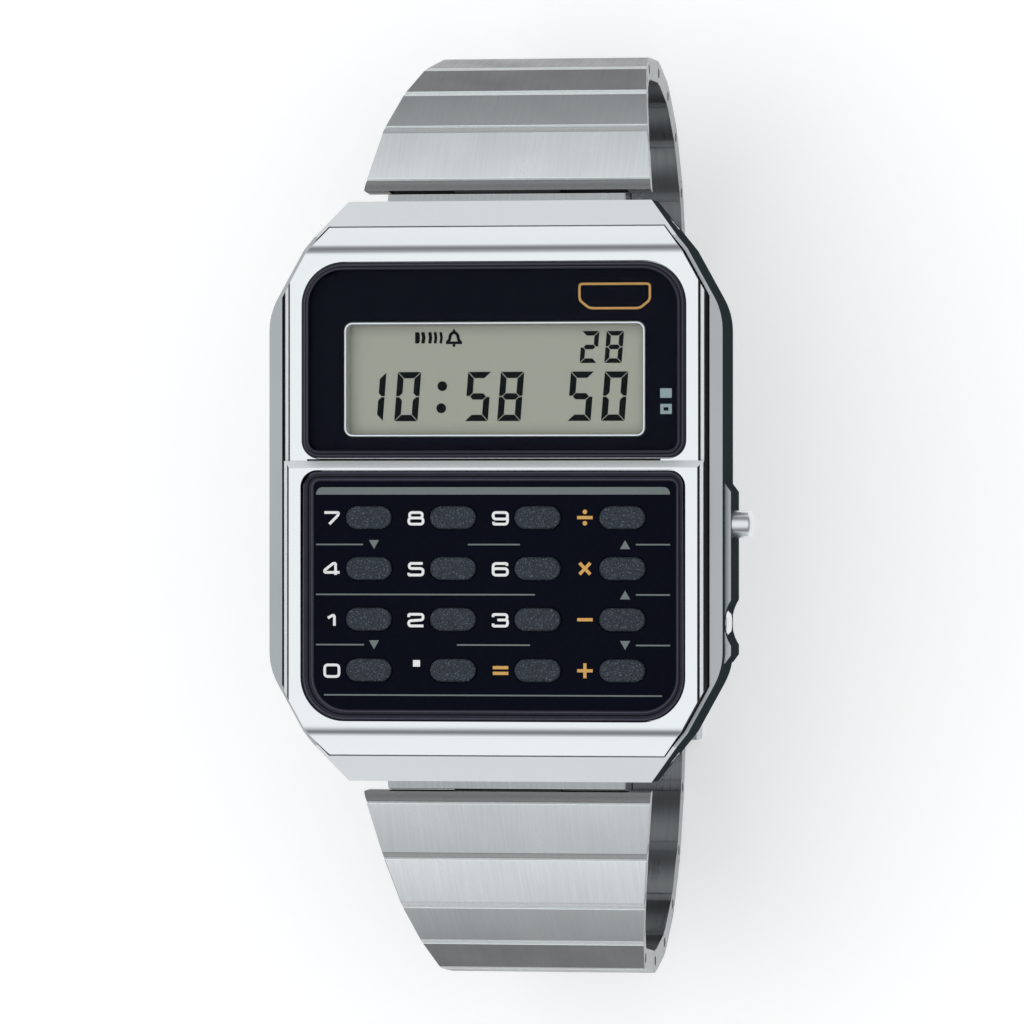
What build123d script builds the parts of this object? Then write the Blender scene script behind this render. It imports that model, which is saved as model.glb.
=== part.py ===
# Calculator watch on a steel link band, standing dial up on its closed folding clasp.
# Millimetres. +Z points out of the dial, +Y to 12 o'clock, +X to the side pushers.
# Z = 0 is the surface under the clasp. A depth is measured down from the bezel's top face.
from build123d import *
from math import acos, cos, degrees, radians, sin
import os

os.makedirs("parts", exist_ok=True)

overrun = 1.0

# Case body: an octagon with bent corner flanks, sloped at both ends
case_length = 43.2
case_width = 34.0
end_wall = 4.8
side_wall = 3.0
lug_width = 2.3
notch_width = 18.2
case_end_width = notch_width + 2 * lug_width
case_fold_flare = 3.0
case_fold_width = case_end_width + 2 * case_fold_flare
case_corner_length = 8.4
case_side_length = case_length - 2 * case_corner_length
case_corner_radius = 5.0
shoulder_depth = 1.3
end_slope_run = 2.0
seam_distance = case_length / 2 - end_slope_run
bezel_slope_run = 1.7
fold_distance = seam_distance - bezel_slope_run
seam_depth = 1.9
case_end_depth = 3.6
body_depth = 7.3
case_edge_round = 0.35
cavity_width = case_width - 2 * side_wall
cavity_length = case_length - 2 * end_wall
cavity_corner_radius = 6.5

# Raised guard on the pusher side, with a scallop round the recessed pusher
guard_rise = 0.45
guard_depth = 2.6
guard_start_y = 0.55
guard_end_reach = 3.0
recessed_pusher_corner_gap = 0.55
recessed_pusher_y = recessed_pusher_corner_gap - (cavity_length / 2 - cavity_corner_radius)
guard_end_y = recessed_pusher_y - guard_end_reach
guard_slope_length = 0.6
scallop_chord = 3.35
scallop_sink = 0.5

# Bezel: polished plate with a display opening and a keypad opening; the keypad half stands higher
bezel_side_setback = 1.05
bezel_corner_setback = 0.35
bezel_depth = 2.6
bezel_seam_gap = 0.09
bezel_step_y = 1.74
bezel_step = 0.5
bezel_fold_radius = 1.5
bezel_groove_width = 0.15
bezel_groove_depth = 0.22
bezel_bead_width = 0.25
bezel_bead_drop = 0.1
panel_side_margin = 2.6
panel_width = case_width - 2 * panel_side_margin
panel_fit = 0.05
panel_ledge = 0.6
display_end_margin = 0.9
display_bottom_y = 2.4
display_length = fold_distance - display_end_margin - display_bottom_y
display_centre_y = display_bottom_y + display_length / 2
display_top_radius = 3.2
display_bottom_radius = 1.35
keypad_end_margin = 0.85
keypad_top_y = 1.55
keypad_length = fold_distance - keypad_end_margin + keypad_top_y
keypad_centre_y = keypad_top_y - keypad_length / 2
keypad_top_radius = 1.25
keypad_bottom_radius = 3.3

# Display: crystal, printed mask, window frame and liquid crystal cell
crystal_rise = 0.1
crystal_seat_depth = 0.9
crystal_bevel_width = 0.55
crystal_bevel_drop = 0.55
mask_thickness = 0.2
window_side_margin = 3.3
window_bottom_margin = 1.82
window_top_margin = 4.66
window_width = panel_width - 2 * window_side_margin
window_length = display_length - window_bottom_margin - window_top_margin
window_centre_y = display_bottom_y + window_bottom_margin + window_length / 2
window_radius = 0.45
window_wall = 0.2
window_fit = 0.05
window_frame_gap = 0.1
lcd_side_margin = 1.0
lcd_end_margin = 0.55
lcd_width = window_width + 2 * (window_wall + lcd_side_margin)
lcd_length = window_length + 2 * (window_wall + lcd_end_margin)
lcd_thickness = 0.9

# Keypad plate, keys and contact sheet
keypad_recess = 1.0
keypad_rim_width = 0.76
keypad_rim_sink = 0.05
keypad_plate_depth = 1.6
key_rows = 4
key_columns = 4
key_side_margin = 4.89
key_top_margin = 3.51
key_bottom_margin = 3.77
key_pitch_x = (panel_width - 2 * key_side_margin) / (key_columns - 1)
key_pitch_y = (keypad_length - key_top_margin - key_bottom_margin) / (key_rows - 1)
key_centre_x = 0.08
key_first_row_y = keypad_top_y - key_top_margin
key_length = 3.45
key_width = 1.7
key_rise = 0.25
key_edge_round = 0.18
key_fit = 0.06
key_flange_margin = 0.35
key_flange_thickness = 0.4
key_dome_radius = 0.7
key_dome_gap = 0.35
contact_sheet_margin = 0.25
contact_sheet_top_y = 1.0

# Module: circuit board, frame, battery, clip and buzzer
module_fit = 0.2
board_depth_share = 0.466
board_depth = board_depth_share * body_depth
board_thickness_share = 0.082
board_thickness = board_thickness_share * body_depth
lcd_depth = board_depth - lcd_thickness
window_frame_depth = lcd_depth - window_frame_gap
module_back_gap = 1.3
module_frame_depth = body_depth - module_back_gap
battery_side_margin = 4.0
battery_radius = cavity_width / 2 - battery_side_margin
battery_end_margin = 2.8
battery_centre_y = battery_end_margin + battery_radius - cavity_length / 2
battery_fit = 0.15
clip_thickness = 0.25
battery_thickness = module_frame_depth - board_depth - board_thickness - clip_thickness - battery_fit
clip_width = 5.0
clip_fold_length = 1.6
buzzer_radius = 6.5
buzzer_end_margin = 1.3
buzzer_centre_y = cavity_length / 2 - buzzer_end_margin - buzzer_radius
buzzer_thickness = 0.25

# Case back, gasket and screws
back_side_lip = 1.1
back_end_lip = 0.8
back_width = cavity_width + 2 * back_side_lip
back_length = cavity_length + 2 * back_end_lip
back_corner_radius = 2.0
back_thickness = 1.2
back_proud = 0.3
back_depth = body_depth + back_proud
back_seat_depth = back_depth - back_thickness
back_fit = 0.08
back_edge_bevel = 0.2
gasket_inset = 0.1
gasket_width = 0.4
gasket_thickness = 0.3
screw_hole_radius = 0.55
screw_thread_radius = 0.5
screw_head_radius = 1.05
screw_head_thickness = 0.45
screw_length = 1.9
screw_slot_width = 0.3
screw_slot_depth = 0.2

# Side pushers, sliding along X
pusher_depth = 3.9
pusher_y = -2.45
pusher_head_radius = 1.03
pusher_reach = 2.0
recessed_pusher_head_radius = 0.9
recessed_pusher_reach = 0.3
pusher_head_sink = 0.05
pusher_stem_radius = 0.45
pusher_fit = 0.06
pusher_bore_depth = 0.85
pusher_tip_bevel = 0.25
pusher_clip_radius = 0.85
pusher_clip_thickness = 0.25
pusher_stem_end = 0.3
pusher_relief_width = 2.4
pusher_relief_length = 1.9

# Lugs and spring bars
notch_wall = 0.6
notch_start_y = back_length / 2 + notch_wall
notch_height = 2.7
notch_roof_depth = body_depth - notch_height
end_knuckle_radius = 1.25
end_knuckle_gap = 0.45
spring_bar_y = notch_start_y + end_knuckle_radius + end_knuckle_gap
spring_bar_rise = 1.1
spring_bar_depth = body_depth - spring_bar_rise
spring_bar_radius = 0.75
spring_bar_end_gap = 0.2
spring_bar_length = notch_width - 2 * spring_bar_end_gap
spring_bar_tip_radius = 0.4
spring_bar_tip_length = 3.5
spring_bar_fit = 0.05

# Band: pitch, section and width of a link, and the angle of each link below the dial plane
link_pitch = 5.4
end_link_pitch = 3.1
end_link_side_gap = 0.15
end_link_width = notch_width - 2 * end_link_side_gap
band_width = 21.6
band_narrow_width = 16.0
band_taper_step = 1.45
link_face = 0.95
link_back = 0.75
barrel_radius = 0.85
barrel_gap = 0.08
lip_radius = 1.25
lip_lap_angle = 35
link_backbend_angle = 4
link_stop_angle = 5
knuckle_width = 8.0
knuckle_gap = 0.1
link_pin_radius = 0.4
link_pin_fit = 0.05
link_pin_seat_fit = 0.02
link_pin_sink = 0.1
link_edge_bevel = 0.12
end_link_angle = 33
upper_link_angles = [41, 58, 67, 78, 90, 106, 124, 142, 160]
lower_link_angles = [37, 45, 56.5, 65, 84, 102, 121, 139, 156, 168]

# Folding clasp: cover, middle leaf and inner leaf
clasp_pivot_height = 3.0
cover_floor = 0.7
cover_wall = 0.8
cover_wall_height = 3.9
cover_side_gap = 0.3
cover_end_reach = 1.5
cover_floor_setback = 3.4
cover_edge_round = 0.5
adjust_hole_spacing = 2.6
adjust_hole_count = 3  # counting the one in use
leaf_thickness = 0.8
leaf_side_gap = 1.3
middle_leaf_height = 1.2
cover_hinge_setback = 4.4
leaf_hinge_setback = 3.7
leaf_hinge_height = 2.3
leaf_barrel_radius = 0.9
cover_hinge_radius = 0.7
clasp_pin_radius = 0.4
clasp_gap = 0.1
leaf_knuckle_width = 7.0
inner_leaf_head_length = 2.2

# Places worked out from the sizes above
case_half = case_width / 2
bezel_half = case_half - bezel_side_setback
guard_face_x = case_half + guard_rise
cover_inner_half = band_narrow_width / 2 + cover_side_gap
cover_half = cover_inner_half + cover_wall
far_edge_angle = lip_lap_angle + link_backbend_angle + link_stop_angle
barrel_seat = barrel_radius + barrel_gap
knuckle_slot = knuckle_width + 2 * knuckle_gap
link_pin_seat_radius = link_pin_radius + link_pin_seat_fit
key_names = [
    ["7", "8", "9", "divide"],
    ["4", "5", "6", "multiply"],
    ["1", "2", "3", "minus"],
    ["0", "point", "equals", "plus"],
]


def chain_pins(link_angles):
    """Distance from the case centre and depth of each pin of one half of the band."""
    distance = spring_bar_y + end_link_pitch * cos(radians(end_link_angle))
    depth = spring_bar_depth + end_link_pitch * sin(radians(end_link_angle))
    pins = [(distance, depth)]
    for angle in link_angles:
        distance += link_pitch * cos(radians(angle))
        depth += link_pitch * sin(radians(angle))
        pins.append((distance, depth))
    return pins


upper_pins = chain_pins(upper_link_angles)
lower_pins = chain_pins(lower_link_angles)
bezel_top = upper_pins[-1][1] + clasp_pivot_height


def level(depth):
    """Height above the ground of a depth below the bezel's top face."""
    return bezel_top - depth


# Case body

def case_plan(inset):
    """Plan of the case moved in by an inset."""
    corner = [
        (case_end_width / 2, case_length / 2),
        (case_fold_width / 2, fold_distance),
        (case_half, case_side_length / 2),
    ]
    right = corner + [(x, -y) for x, y in reversed(corner)]
    with BuildSketch() as plan:
        with BuildLine():
            Polyline(*right, *[(-x, y) for x, y in reversed(right)], close=True)
        make_face()
        outer = plan.vertices().group_by(Axis.X)
        fillet(outer[0] + outer[-1], case_corner_radius)
        if inset:
            offset(amount=-inset, kind=Kind.INTERSECTION)
    return plan.sketch


def bezel_plan(gap):
    """Plan of the bezel, grown by a gap for the pocket that it sits in."""
    with BuildSketch() as plan:
        add(case_plan(bezel_corner_setback - gap))
        Rectangle(2 * (bezel_half + gap), 2 * (seam_distance + gap), mode=Mode.INTERSECT)
    return plan.sketch


def slope_depth(distance):
    """Depth of the sloped end faces at a distance from the case centre."""
    rate = (case_end_depth - seam_depth) / (case_length / 2 - seam_distance)
    return seam_depth + rate * (distance - seam_distance)


def slope_distance(depth):
    """Distance from the case centre at which the sloped end faces reach a depth."""
    rate = (case_length / 2 - seam_distance) / (case_end_depth - seam_depth)
    return seam_distance + rate * (depth - seam_depth)


with BuildSketch(Plane.YZ) as case_side:
    with BuildLine():
        case_side_half = [
            (case_length / 2, level(body_depth)),
            (case_length / 2, level(case_end_depth)),
            (slope_distance(shoulder_depth), level(shoulder_depth)),
        ]
        Polyline(*case_side_half, *[(-y, z) for y, z in reversed(case_side_half)], close=True)
    make_face()
    fillet(case_side.vertices().group_by(Axis.Y)[0], case_edge_round)

scallop_radius = (scallop_chord**2 / 4 + scallop_sink**2) / (2 * scallop_sink)
screw_x = back_width / 2 - back_corner_radius
screw_y = back_length / 2 - back_corner_radius
screw_places = [(x * screw_x, y * screw_y) for x in (-1, 1) for y in (-1, 1)]

with BuildPart() as case_body:
    with BuildSketch(Plane.XY.offset(level(body_depth))):
        add(case_plan(0))
    extrude(amount=body_depth)
    extrude(case_side.sketch, amount=case_width, both=True, mode=Mode.INTERSECT)
    with BuildSketch(Plane.XY.offset(level(body_depth))):
        with BuildLine():
            Polyline(
                (case_half - guard_rise, guard_start_y),
                (case_half, guard_start_y),
                (guard_face_x, guard_start_y - guard_slope_length),
                (guard_face_x, guard_end_y + guard_slope_length),
                (case_half, guard_end_y),
                (case_half - guard_rise, guard_end_y),
                close=True,
            )
        make_face()
        with Locations((guard_face_x - scallop_sink + scallop_radius, recessed_pusher_y)):
            Circle(scallop_radius, mode=Mode.SUBTRACT)
    extrude(amount=body_depth - guard_depth)
    with BuildSketch(Plane.XY.offset(level(bezel_depth))):
        add(bezel_plan(bezel_seam_gap))
    extrude(amount=bezel_depth + overrun, mode=Mode.SUBTRACT)
    with BuildSketch(Plane.XY.offset(level(body_depth) - overrun)):
        RectangleRounded(cavity_width, cavity_length, cavity_corner_radius)
    extrude(amount=body_depth + 2 * overrun, mode=Mode.SUBTRACT)
    with BuildSketch(Plane.XY.offset(level(body_depth) - overrun)):
        RectangleRounded(back_width, back_length, back_corner_radius)
    extrude(amount=body_depth - back_seat_depth + overrun, mode=Mode.SUBTRACT)
    with BuildSketch(Plane.XY.offset(level(back_seat_depth) - overrun)):
        groove_reach = gasket_inset + gasket_width
        RectangleRounded(
            cavity_width + 2 * groove_reach,
            cavity_length + 2 * groove_reach,
            cavity_corner_radius + groove_reach,
        )
        RectangleRounded(
            cavity_width + 2 * gasket_inset,
            cavity_length + 2 * gasket_inset,
            cavity_corner_radius + gasket_inset,
            mode=Mode.SUBTRACT,
        )
    extrude(amount=overrun + gasket_thickness, mode=Mode.SUBTRACT)
    with BuildSketch(Plane.XY.offset(level(back_seat_depth))):
        with Locations(*screw_places):
            Circle(screw_hole_radius)
    extrude(amount=screw_length, mode=Mode.SUBTRACT)
    for side in (1, -1):
        notch_length = case_length / 2 - notch_start_y + overrun
        with BuildSketch(Plane.XY.offset(level(body_depth) - overrun)):
            with Locations((0, side * (notch_start_y + notch_length / 2))):
                Rectangle(notch_width, notch_length)
        extrude(amount=body_depth - notch_roof_depth + overrun, mode=Mode.SUBTRACT)
    with BuildSketch(Plane.YZ):
        with Locations(*[(side * spring_bar_y, level(spring_bar_depth)) for side in (1, -1)]):
            Circle(spring_bar_tip_radius + spring_bar_fit)
    extrude(amount=case_width, both=True, mode=Mode.SUBTRACT)
    for y, head_radius in ((pusher_y, pusher_head_radius), (recessed_pusher_y, recessed_pusher_head_radius)):
        with BuildSketch(Plane.YZ):
            with Locations((y, level(pusher_depth))):
                Circle(pusher_stem_radius + pusher_fit)
        extrude(amount=case_width, mode=Mode.SUBTRACT)
        with BuildSketch(Plane.YZ.offset(case_half - pusher_bore_depth)):
            with Locations((y, level(pusher_depth))):
                Circle(head_radius + pusher_fit)
        extrude(amount=case_width, mode=Mode.SUBTRACT)
case_body.part.label = "case_body"
export_step(case_body.part, "parts/case_body.step")


# Bezel

def panel_plan(centre_y, width, length, top_radius, bottom_radius):
    """Rectangle with one corner radius at its 12 o'clock end and another at its 6 o'clock end."""
    with BuildSketch() as panel:
        with Locations((0, centre_y)):
            Rectangle(width, length)
        fillet(panel.vertices().group_by(Axis.Y)[-1], top_radius)
        fillet(panel.vertices().group_by(Axis.Y)[0], bottom_radius)
    return panel.sketch


def display_plan(inset):
    """Plan of the display opening moved in by an inset."""
    return panel_plan(
        display_centre_y,
        panel_width - 2 * inset,
        display_length - 2 * inset,
        display_top_radius - inset,
        display_bottom_radius - inset,
    )


def keypad_plan(inset):
    """Plan of the keypad opening moved in by an inset."""
    return panel_plan(
        keypad_centre_y,
        panel_width - 2 * inset,
        keypad_length - 2 * inset,
        keypad_top_radius - inset,
        keypad_bottom_radius - inset,
    )


bezel_bead_x = bezel_half - bezel_bead_width
bezel_groove_x = bezel_bead_x - bezel_bead_width


def bezel_portion(side, top_depth, profile):
    """One half of the bezel, from a side profile, with the stepped edge along the case sides."""
    edge = [
        (bezel_half, level(bezel_depth)),
        (bezel_half, level(shoulder_depth)),
        (bezel_bead_x, level(top_depth + bezel_groove_depth + bezel_bead_drop)),
        (bezel_groove_x, level(top_depth + bezel_groove_depth)),
        (bezel_groove_x - bezel_groove_width, level(top_depth)),
    ]
    with BuildSketch(Plane.YZ) as side_view:
        with BuildLine():
            Polyline(
                (side * seam_distance, level(bezel_depth)),
                (side * seam_distance, level(seam_depth)),
                (side * fold_distance, level(top_depth)),
                *profile,
                close=True,
            )
        make_face()
        fold = side_view.vertices().sort_by_distance((side * fold_distance, level(top_depth)))[0]
        fillet(fold, bezel_fold_radius)
    with BuildSketch(Plane.XZ) as end_view:
        with BuildLine():
            Polyline(*edge, *[(-x, z) for x, z in reversed(edge)], close=True)
        make_face()
    with BuildPart() as portion:
        with BuildSketch(Plane.XY.offset(level(bezel_depth))):
            add(bezel_plan(0))
        extrude(amount=bezel_depth)
        extrude(side_view.sketch, amount=case_width, both=True, mode=Mode.INTERSECT)
        extrude(end_view.sketch, amount=case_length, both=True, mode=Mode.INTERSECT)
    return portion.part


step_foot_y = bezel_step_y + bezel_step
step_foot = (step_foot_y, level(bezel_depth))
with BuildPart() as bezel:
    add(bezel_portion(1, bezel_step, [(step_foot_y, level(bezel_step)), step_foot]))
    add(bezel_portion(-1, 0, [(bezel_step_y, level(0)), (step_foot_y, level(bezel_step)), step_foot]))
    display_seat_depth = crystal_seat_depth + mask_thickness
    for plan, seat in ((display_plan, display_seat_depth), (keypad_plan, keypad_plate_depth)):
        with BuildSketch(Plane.XY.offset(level(seat))):
            add(plan(0))
        extrude(amount=seat + overrun, mode=Mode.SUBTRACT)
        with BuildSketch(Plane.XY.offset(level(bezel_depth) - overrun)):
            add(plan(panel_ledge))
        extrude(amount=bezel_depth + overrun, mode=Mode.SUBTRACT)
bezel.part.label = "bezel"
export_step(bezel.part, "parts/bezel.step")


# Display

with BuildPart() as display_glass:
    with BuildSketch(Plane.XY.offset(level(crystal_seat_depth))):
        add(display_plan(panel_fit))
    extrude(amount=crystal_seat_depth + crystal_rise)
    glass_top = display_glass.faces().sort_by(Axis.Z)[-1]
    chamfer(glass_top.edges(), length=crystal_bevel_width, length2=crystal_bevel_drop, reference=glass_top)
display_glass.part.label = "display_glass"
export_step(display_glass.part, "parts/display_glass.step")

with BuildPart() as display_mask:
    with BuildSketch(Plane.XY.offset(level(crystal_seat_depth + mask_thickness))):
        add(display_plan(panel_fit))
        with Locations((0, window_centre_y)):
            RectangleRounded(
                window_width + 2 * (window_wall + window_fit),
                window_length + 2 * (window_wall + window_fit),
                window_radius + window_wall + window_fit,
                mode=Mode.SUBTRACT,
            )
    extrude(amount=mask_thickness)
display_mask.part.label = "display_mask"
export_step(display_mask.part, "parts/display_mask.step")

with BuildPart() as window_frame:
    with BuildSketch(Plane.XY.offset(level(window_frame_depth))):
        with Locations((0, window_centre_y)):
            RectangleRounded(
                window_width + 2 * window_wall,
                window_length + 2 * window_wall,
                window_radius + window_wall,
            )
            RectangleRounded(window_width, window_length, window_radius, mode=Mode.SUBTRACT)
    extrude(amount=window_frame_depth - crystal_seat_depth)
window_frame.part.label = "window_frame"
export_step(window_frame.part, "parts/window_frame.step")

with BuildPart() as lcd_panel:
    with BuildSketch(Plane.XY.offset(level(board_depth))):
        with Locations((0, window_centre_y)):
            Rectangle(lcd_width, lcd_length)
    extrude(amount=board_depth - lcd_depth)
lcd_panel.part.label = "lcd_panel"
export_step(lcd_panel.part, "parts/lcd_panel.step")


# Keypad

def key_place(row, column):
    """Centre of a key in plan."""
    x = key_centre_x + (column - (key_columns - 1) / 2) * key_pitch_x
    return (x, key_first_row_y - row * key_pitch_y)


key_places = [key_place(row, column) for row in range(key_rows) for column in range(key_columns)]

with BuildPart() as keypad_plate:
    with BuildSketch(Plane.XY.offset(level(keypad_plate_depth))):
        add(keypad_plan(panel_fit))
    extrude(amount=keypad_plate_depth - keypad_rim_sink)
    with BuildSketch(Plane.XY.offset(level(keypad_recess))):
        add(keypad_plan(panel_fit + keypad_rim_width))
    with BuildSketch(Plane.XY.offset(level(keypad_rim_sink))):
        add(keypad_plan(panel_fit + keypad_rim_sink))
    loft(mode=Mode.SUBTRACT)
    with BuildSketch(Plane.XY.offset(level(keypad_plate_depth))):
        with Locations(*key_places):
            SlotOverall(key_length + 2 * key_fit, key_width + 2 * key_fit)
    extrude(amount=keypad_plate_depth, mode=Mode.SUBTRACT)
keypad_plate.part.label = "keypad_plate"
export_step(keypad_plate.part, "parts/keypad_plate.step")

key_flange_depth = keypad_plate_depth + key_flange_thickness
for row in range(key_rows):
    for column in range(key_columns):
        key_name = "key_" + key_names[row][column]
        with BuildPart() as key:
            with BuildSketch(Plane.XY.offset(level(key_flange_depth))):
                with Locations(key_place(row, column)):
                    SlotOverall(key_length + 2 * key_flange_margin, key_width + 2 * key_flange_margin)
            extrude(amount=key_flange_thickness)
            with BuildSketch(Plane.XY.offset(level(keypad_plate_depth))):
                with Locations(key_place(row, column)):
                    SlotOverall(key_length, key_width)
            extrude(amount=keypad_plate_depth - keypad_recess + key_rise)
            fillet(key.faces().sort_by(Axis.Z)[-1].edges(), key_edge_round)
        key.part.label = key_name
        export_step(key.part, f"parts/{key_name}.step")


def module_plan(inset):
    """Plan of the module moved in from the case wall, cut away where the pusher stems reach in."""
    with BuildSketch() as plan:
        RectangleRounded(
            cavity_width - 2 * inset,
            cavity_length - 2 * inset,
            cavity_corner_radius - inset,
        )
        for y in (pusher_y, recessed_pusher_y):
            with Locations((cavity_width / 2, y)):
                Rectangle(2 * pusher_relief_length, pusher_relief_width, mode=Mode.SUBTRACT)
    return plan.sketch


dome_top_depth = key_flange_depth + key_dome_gap
sheet_top_depth = (dome_top_depth + board_depth) / 2
with BuildPart() as key_contact_sheet:
    with BuildSketch(Plane.XY.offset(level(board_depth))):
        add(module_plan(contact_sheet_margin))
        with Locations((0, contact_sheet_top_y + cavity_length / 2)):
            Rectangle(cavity_width, cavity_length, mode=Mode.SUBTRACT)
    extrude(amount=board_depth - sheet_top_depth)
    with BuildSketch(Plane.XY.offset(level(sheet_top_depth))):
        with Locations(*key_places):
            Circle(key_dome_radius)
    extrude(amount=sheet_top_depth - dome_top_depth)
key_contact_sheet.part.label = "key_contact_sheet"
export_step(key_contact_sheet.part, "parts/key_contact_sheet.step")


# Module inside the case
board_back_depth = board_depth + board_thickness
with BuildPart() as circuit_board:
    with BuildSketch(Plane.XY.offset(level(board_back_depth))):
        add(module_plan(module_fit))
    extrude(amount=board_thickness)
circuit_board.part.label = "circuit_board"
export_step(circuit_board.part, "parts/circuit_board.step")

with BuildPart() as module_frame:
    with BuildSketch(Plane.XY.offset(level(module_frame_depth))):
        add(module_plan(module_fit))
        with Locations((0, battery_centre_y)):
            Circle(battery_radius + battery_fit, mode=Mode.SUBTRACT)
    extrude(amount=module_frame_depth - board_back_depth)
module_frame.part.label = "module_frame"
export_step(module_frame.part, "parts/module_frame.step")

battery_back_depth = board_back_depth + battery_thickness
with BuildPart() as battery:
    with BuildSketch(Plane.XY.offset(level(battery_back_depth))):
        with Locations((0, battery_centre_y)):
            Circle(battery_radius)
    extrude(amount=battery_thickness)
    chamfer(battery.faces().sort_by(Axis.Z)[0].edges(), battery_fit)
battery.part.label = "battery"
export_step(battery.part, "parts/battery.step")

clip_reach = (battery_radius**2 - clip_width**2 / 4) ** 0.5
with BuildPart() as battery_clip:
    with BuildSketch(Plane.XY.offset(level(battery_back_depth + clip_thickness))):
        with Locations((0, battery_centre_y)):
            Rectangle(2 * clip_reach, clip_width)
    extrude(amount=clip_thickness)
    for side in (1, -1):
        with BuildSketch(Plane.XY.offset(level(module_frame_depth + clip_thickness))):
            with Locations((side * (clip_reach + clip_fold_length / 2), battery_centre_y)):
                Rectangle(clip_fold_length, clip_width)
        extrude(amount=clip_thickness)
        with BuildSketch(Plane.XY.offset(level(module_frame_depth + clip_thickness))):
            with Locations((side * (clip_reach - clip_thickness / 2), battery_centre_y)):
                Rectangle(clip_thickness, clip_width)
        extrude(amount=module_frame_depth - battery_back_depth + clip_thickness)
battery_clip.part.label = "battery_clip"
export_step(battery_clip.part, "parts/battery_clip.step")

with BuildPart() as alarm_buzzer:
    with BuildSketch(Plane.XY.offset(level(back_seat_depth))):
        with Locations((0, buzzer_centre_y)):
            Circle(buzzer_radius)
    extrude(amount=buzzer_thickness)
alarm_buzzer.part.label = "alarm_buzzer"
export_step(alarm_buzzer.part, "parts/alarm_buzzer.step")


# Case back

with BuildPart() as case_back:
    with BuildSketch(Plane.XY.offset(level(back_depth))):
        RectangleRounded(back_width - 2 * back_fit, back_length - 2 * back_fit, back_corner_radius - back_fit)
    extrude(amount=back_depth - back_seat_depth)
    chamfer(case_back.faces().sort_by(Axis.Z)[0].edges(), back_edge_bevel)
    with BuildSketch(Plane.XY.offset(level(back_seat_depth))):
        with Locations(*screw_places):
            Circle(screw_hole_radius)
    extrude(amount=-back_depth, mode=Mode.SUBTRACT)
    with BuildSketch(Plane.XY.offset(level(back_depth) + screw_head_thickness)):
        with Locations(*screw_places):
            Circle(screw_head_radius + back_fit)
    extrude(amount=-back_depth, mode=Mode.SUBTRACT)
case_back.part.label = "case_back"
export_step(case_back.part, "parts/case_back.step")

with BuildPart() as back_gasket:
    with BuildSketch(Plane.XY.offset(level(back_seat_depth))):
        RectangleRounded(
            cavity_width + 2 * groove_reach,
            cavity_length + 2 * groove_reach,
            cavity_corner_radius + groove_reach,
        )
        RectangleRounded(
            cavity_width + 2 * gasket_inset,
            cavity_length + 2 * gasket_inset,
            cavity_corner_radius + gasket_inset,
            mode=Mode.SUBTRACT,
        )
    extrude(amount=gasket_thickness)
back_gasket.part.label = "back_gasket"
export_step(back_gasket.part, "parts/back_gasket.step")

with BuildPart() as case_back_screws:
    with BuildSketch(Plane.XY.offset(level(back_depth))):
        with Locations(*screw_places):
            Circle(screw_head_radius)
            Rectangle(2 * screw_head_radius, screw_slot_width, mode=Mode.SUBTRACT)
    extrude(amount=screw_slot_depth)
    with BuildSketch(Plane.XY.offset(level(back_depth) + screw_slot_depth)):
        with Locations(*screw_places):
            Circle(screw_head_radius)
    extrude(amount=screw_head_thickness - screw_slot_depth)
    with BuildSketch(Plane.XY.offset(level(back_depth) + screw_head_thickness)):
        with Locations(*screw_places):
            Circle(screw_thread_radius)
    extrude(amount=screw_length)
case_back_screws.part.label = "case_back_screws"
export_step(case_back_screws.part, "parts/case_back_screws.step")


# Side pushers

def build_pusher(name, y, head_radius, reach):
    """Pusher head, stem and retaining clip, sliding in the case wall."""
    pusher_head_inner_x = case_half - pusher_head_sink
    clip_x = cavity_width / 2 - pusher_clip_thickness
    stem_start_x = clip_x - pusher_stem_end
    with BuildPart() as pusher:
        with BuildSketch(Plane.YZ.offset(pusher_head_inner_x)):
            with Locations((y, level(pusher_depth))):
                Circle(head_radius)
        extrude(amount=reach + pusher_head_sink)
        chamfer(pusher.faces().sort_by(Axis.X)[-1].edges(), pusher_tip_bevel)
        with BuildSketch(Plane.YZ.offset(stem_start_x)):
            with Locations((y, level(pusher_depth))):
                Circle(pusher_stem_radius)
        extrude(amount=pusher_head_inner_x - stem_start_x)
        with BuildSketch(Plane.YZ.offset(clip_x)):
            with Locations((y, level(pusher_depth))):
                Circle(pusher_clip_radius)
        extrude(amount=pusher_clip_thickness)
    pusher.part.label = name
    export_step(pusher.part, f"parts/{name}.step")


build_pusher("main_pusher", pusher_y, pusher_head_radius, pusher_reach)
build_pusher("recessed_pusher", recessed_pusher_y, recessed_pusher_head_radius, recessed_pusher_reach)


# Spring bars

with BuildPart() as spring_bars:
    spring_bar_places = [(side * spring_bar_y, level(spring_bar_depth)) for side in (1, -1)]
    with BuildSketch(Plane.YZ):
        with Locations(*spring_bar_places):
            Circle(spring_bar_radius)
    extrude(amount=spring_bar_length / 2, both=True)
    with BuildSketch(Plane.YZ):
        with Locations(*spring_bar_places):
            Circle(spring_bar_tip_radius)
    extrude(amount=spring_bar_length / 2 + spring_bar_tip_length, both=True)
spring_bars.part.label = "spring_bars"
export_step(spring_bars.part, "parts/spring_bars.step")


# Band links

def band_plane(side, distance, height, angle):
    """Plane at a pin: its x runs along the band away from the case, its y points out of the loop."""
    along = (0, side * cos(radians(angle)), -sin(radians(angle)))
    return Plane(origin=(0, side * distance, height), x_dir=along, z_dir=(side, 0, 0))


def around_pin(radius, angle, pin_x=0):
    """Point at a radius from a pin, turned from the outward direction back towards the case."""
    return (pin_x - radius * sin(radians(angle)), radius * cos(radians(angle)))


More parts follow.
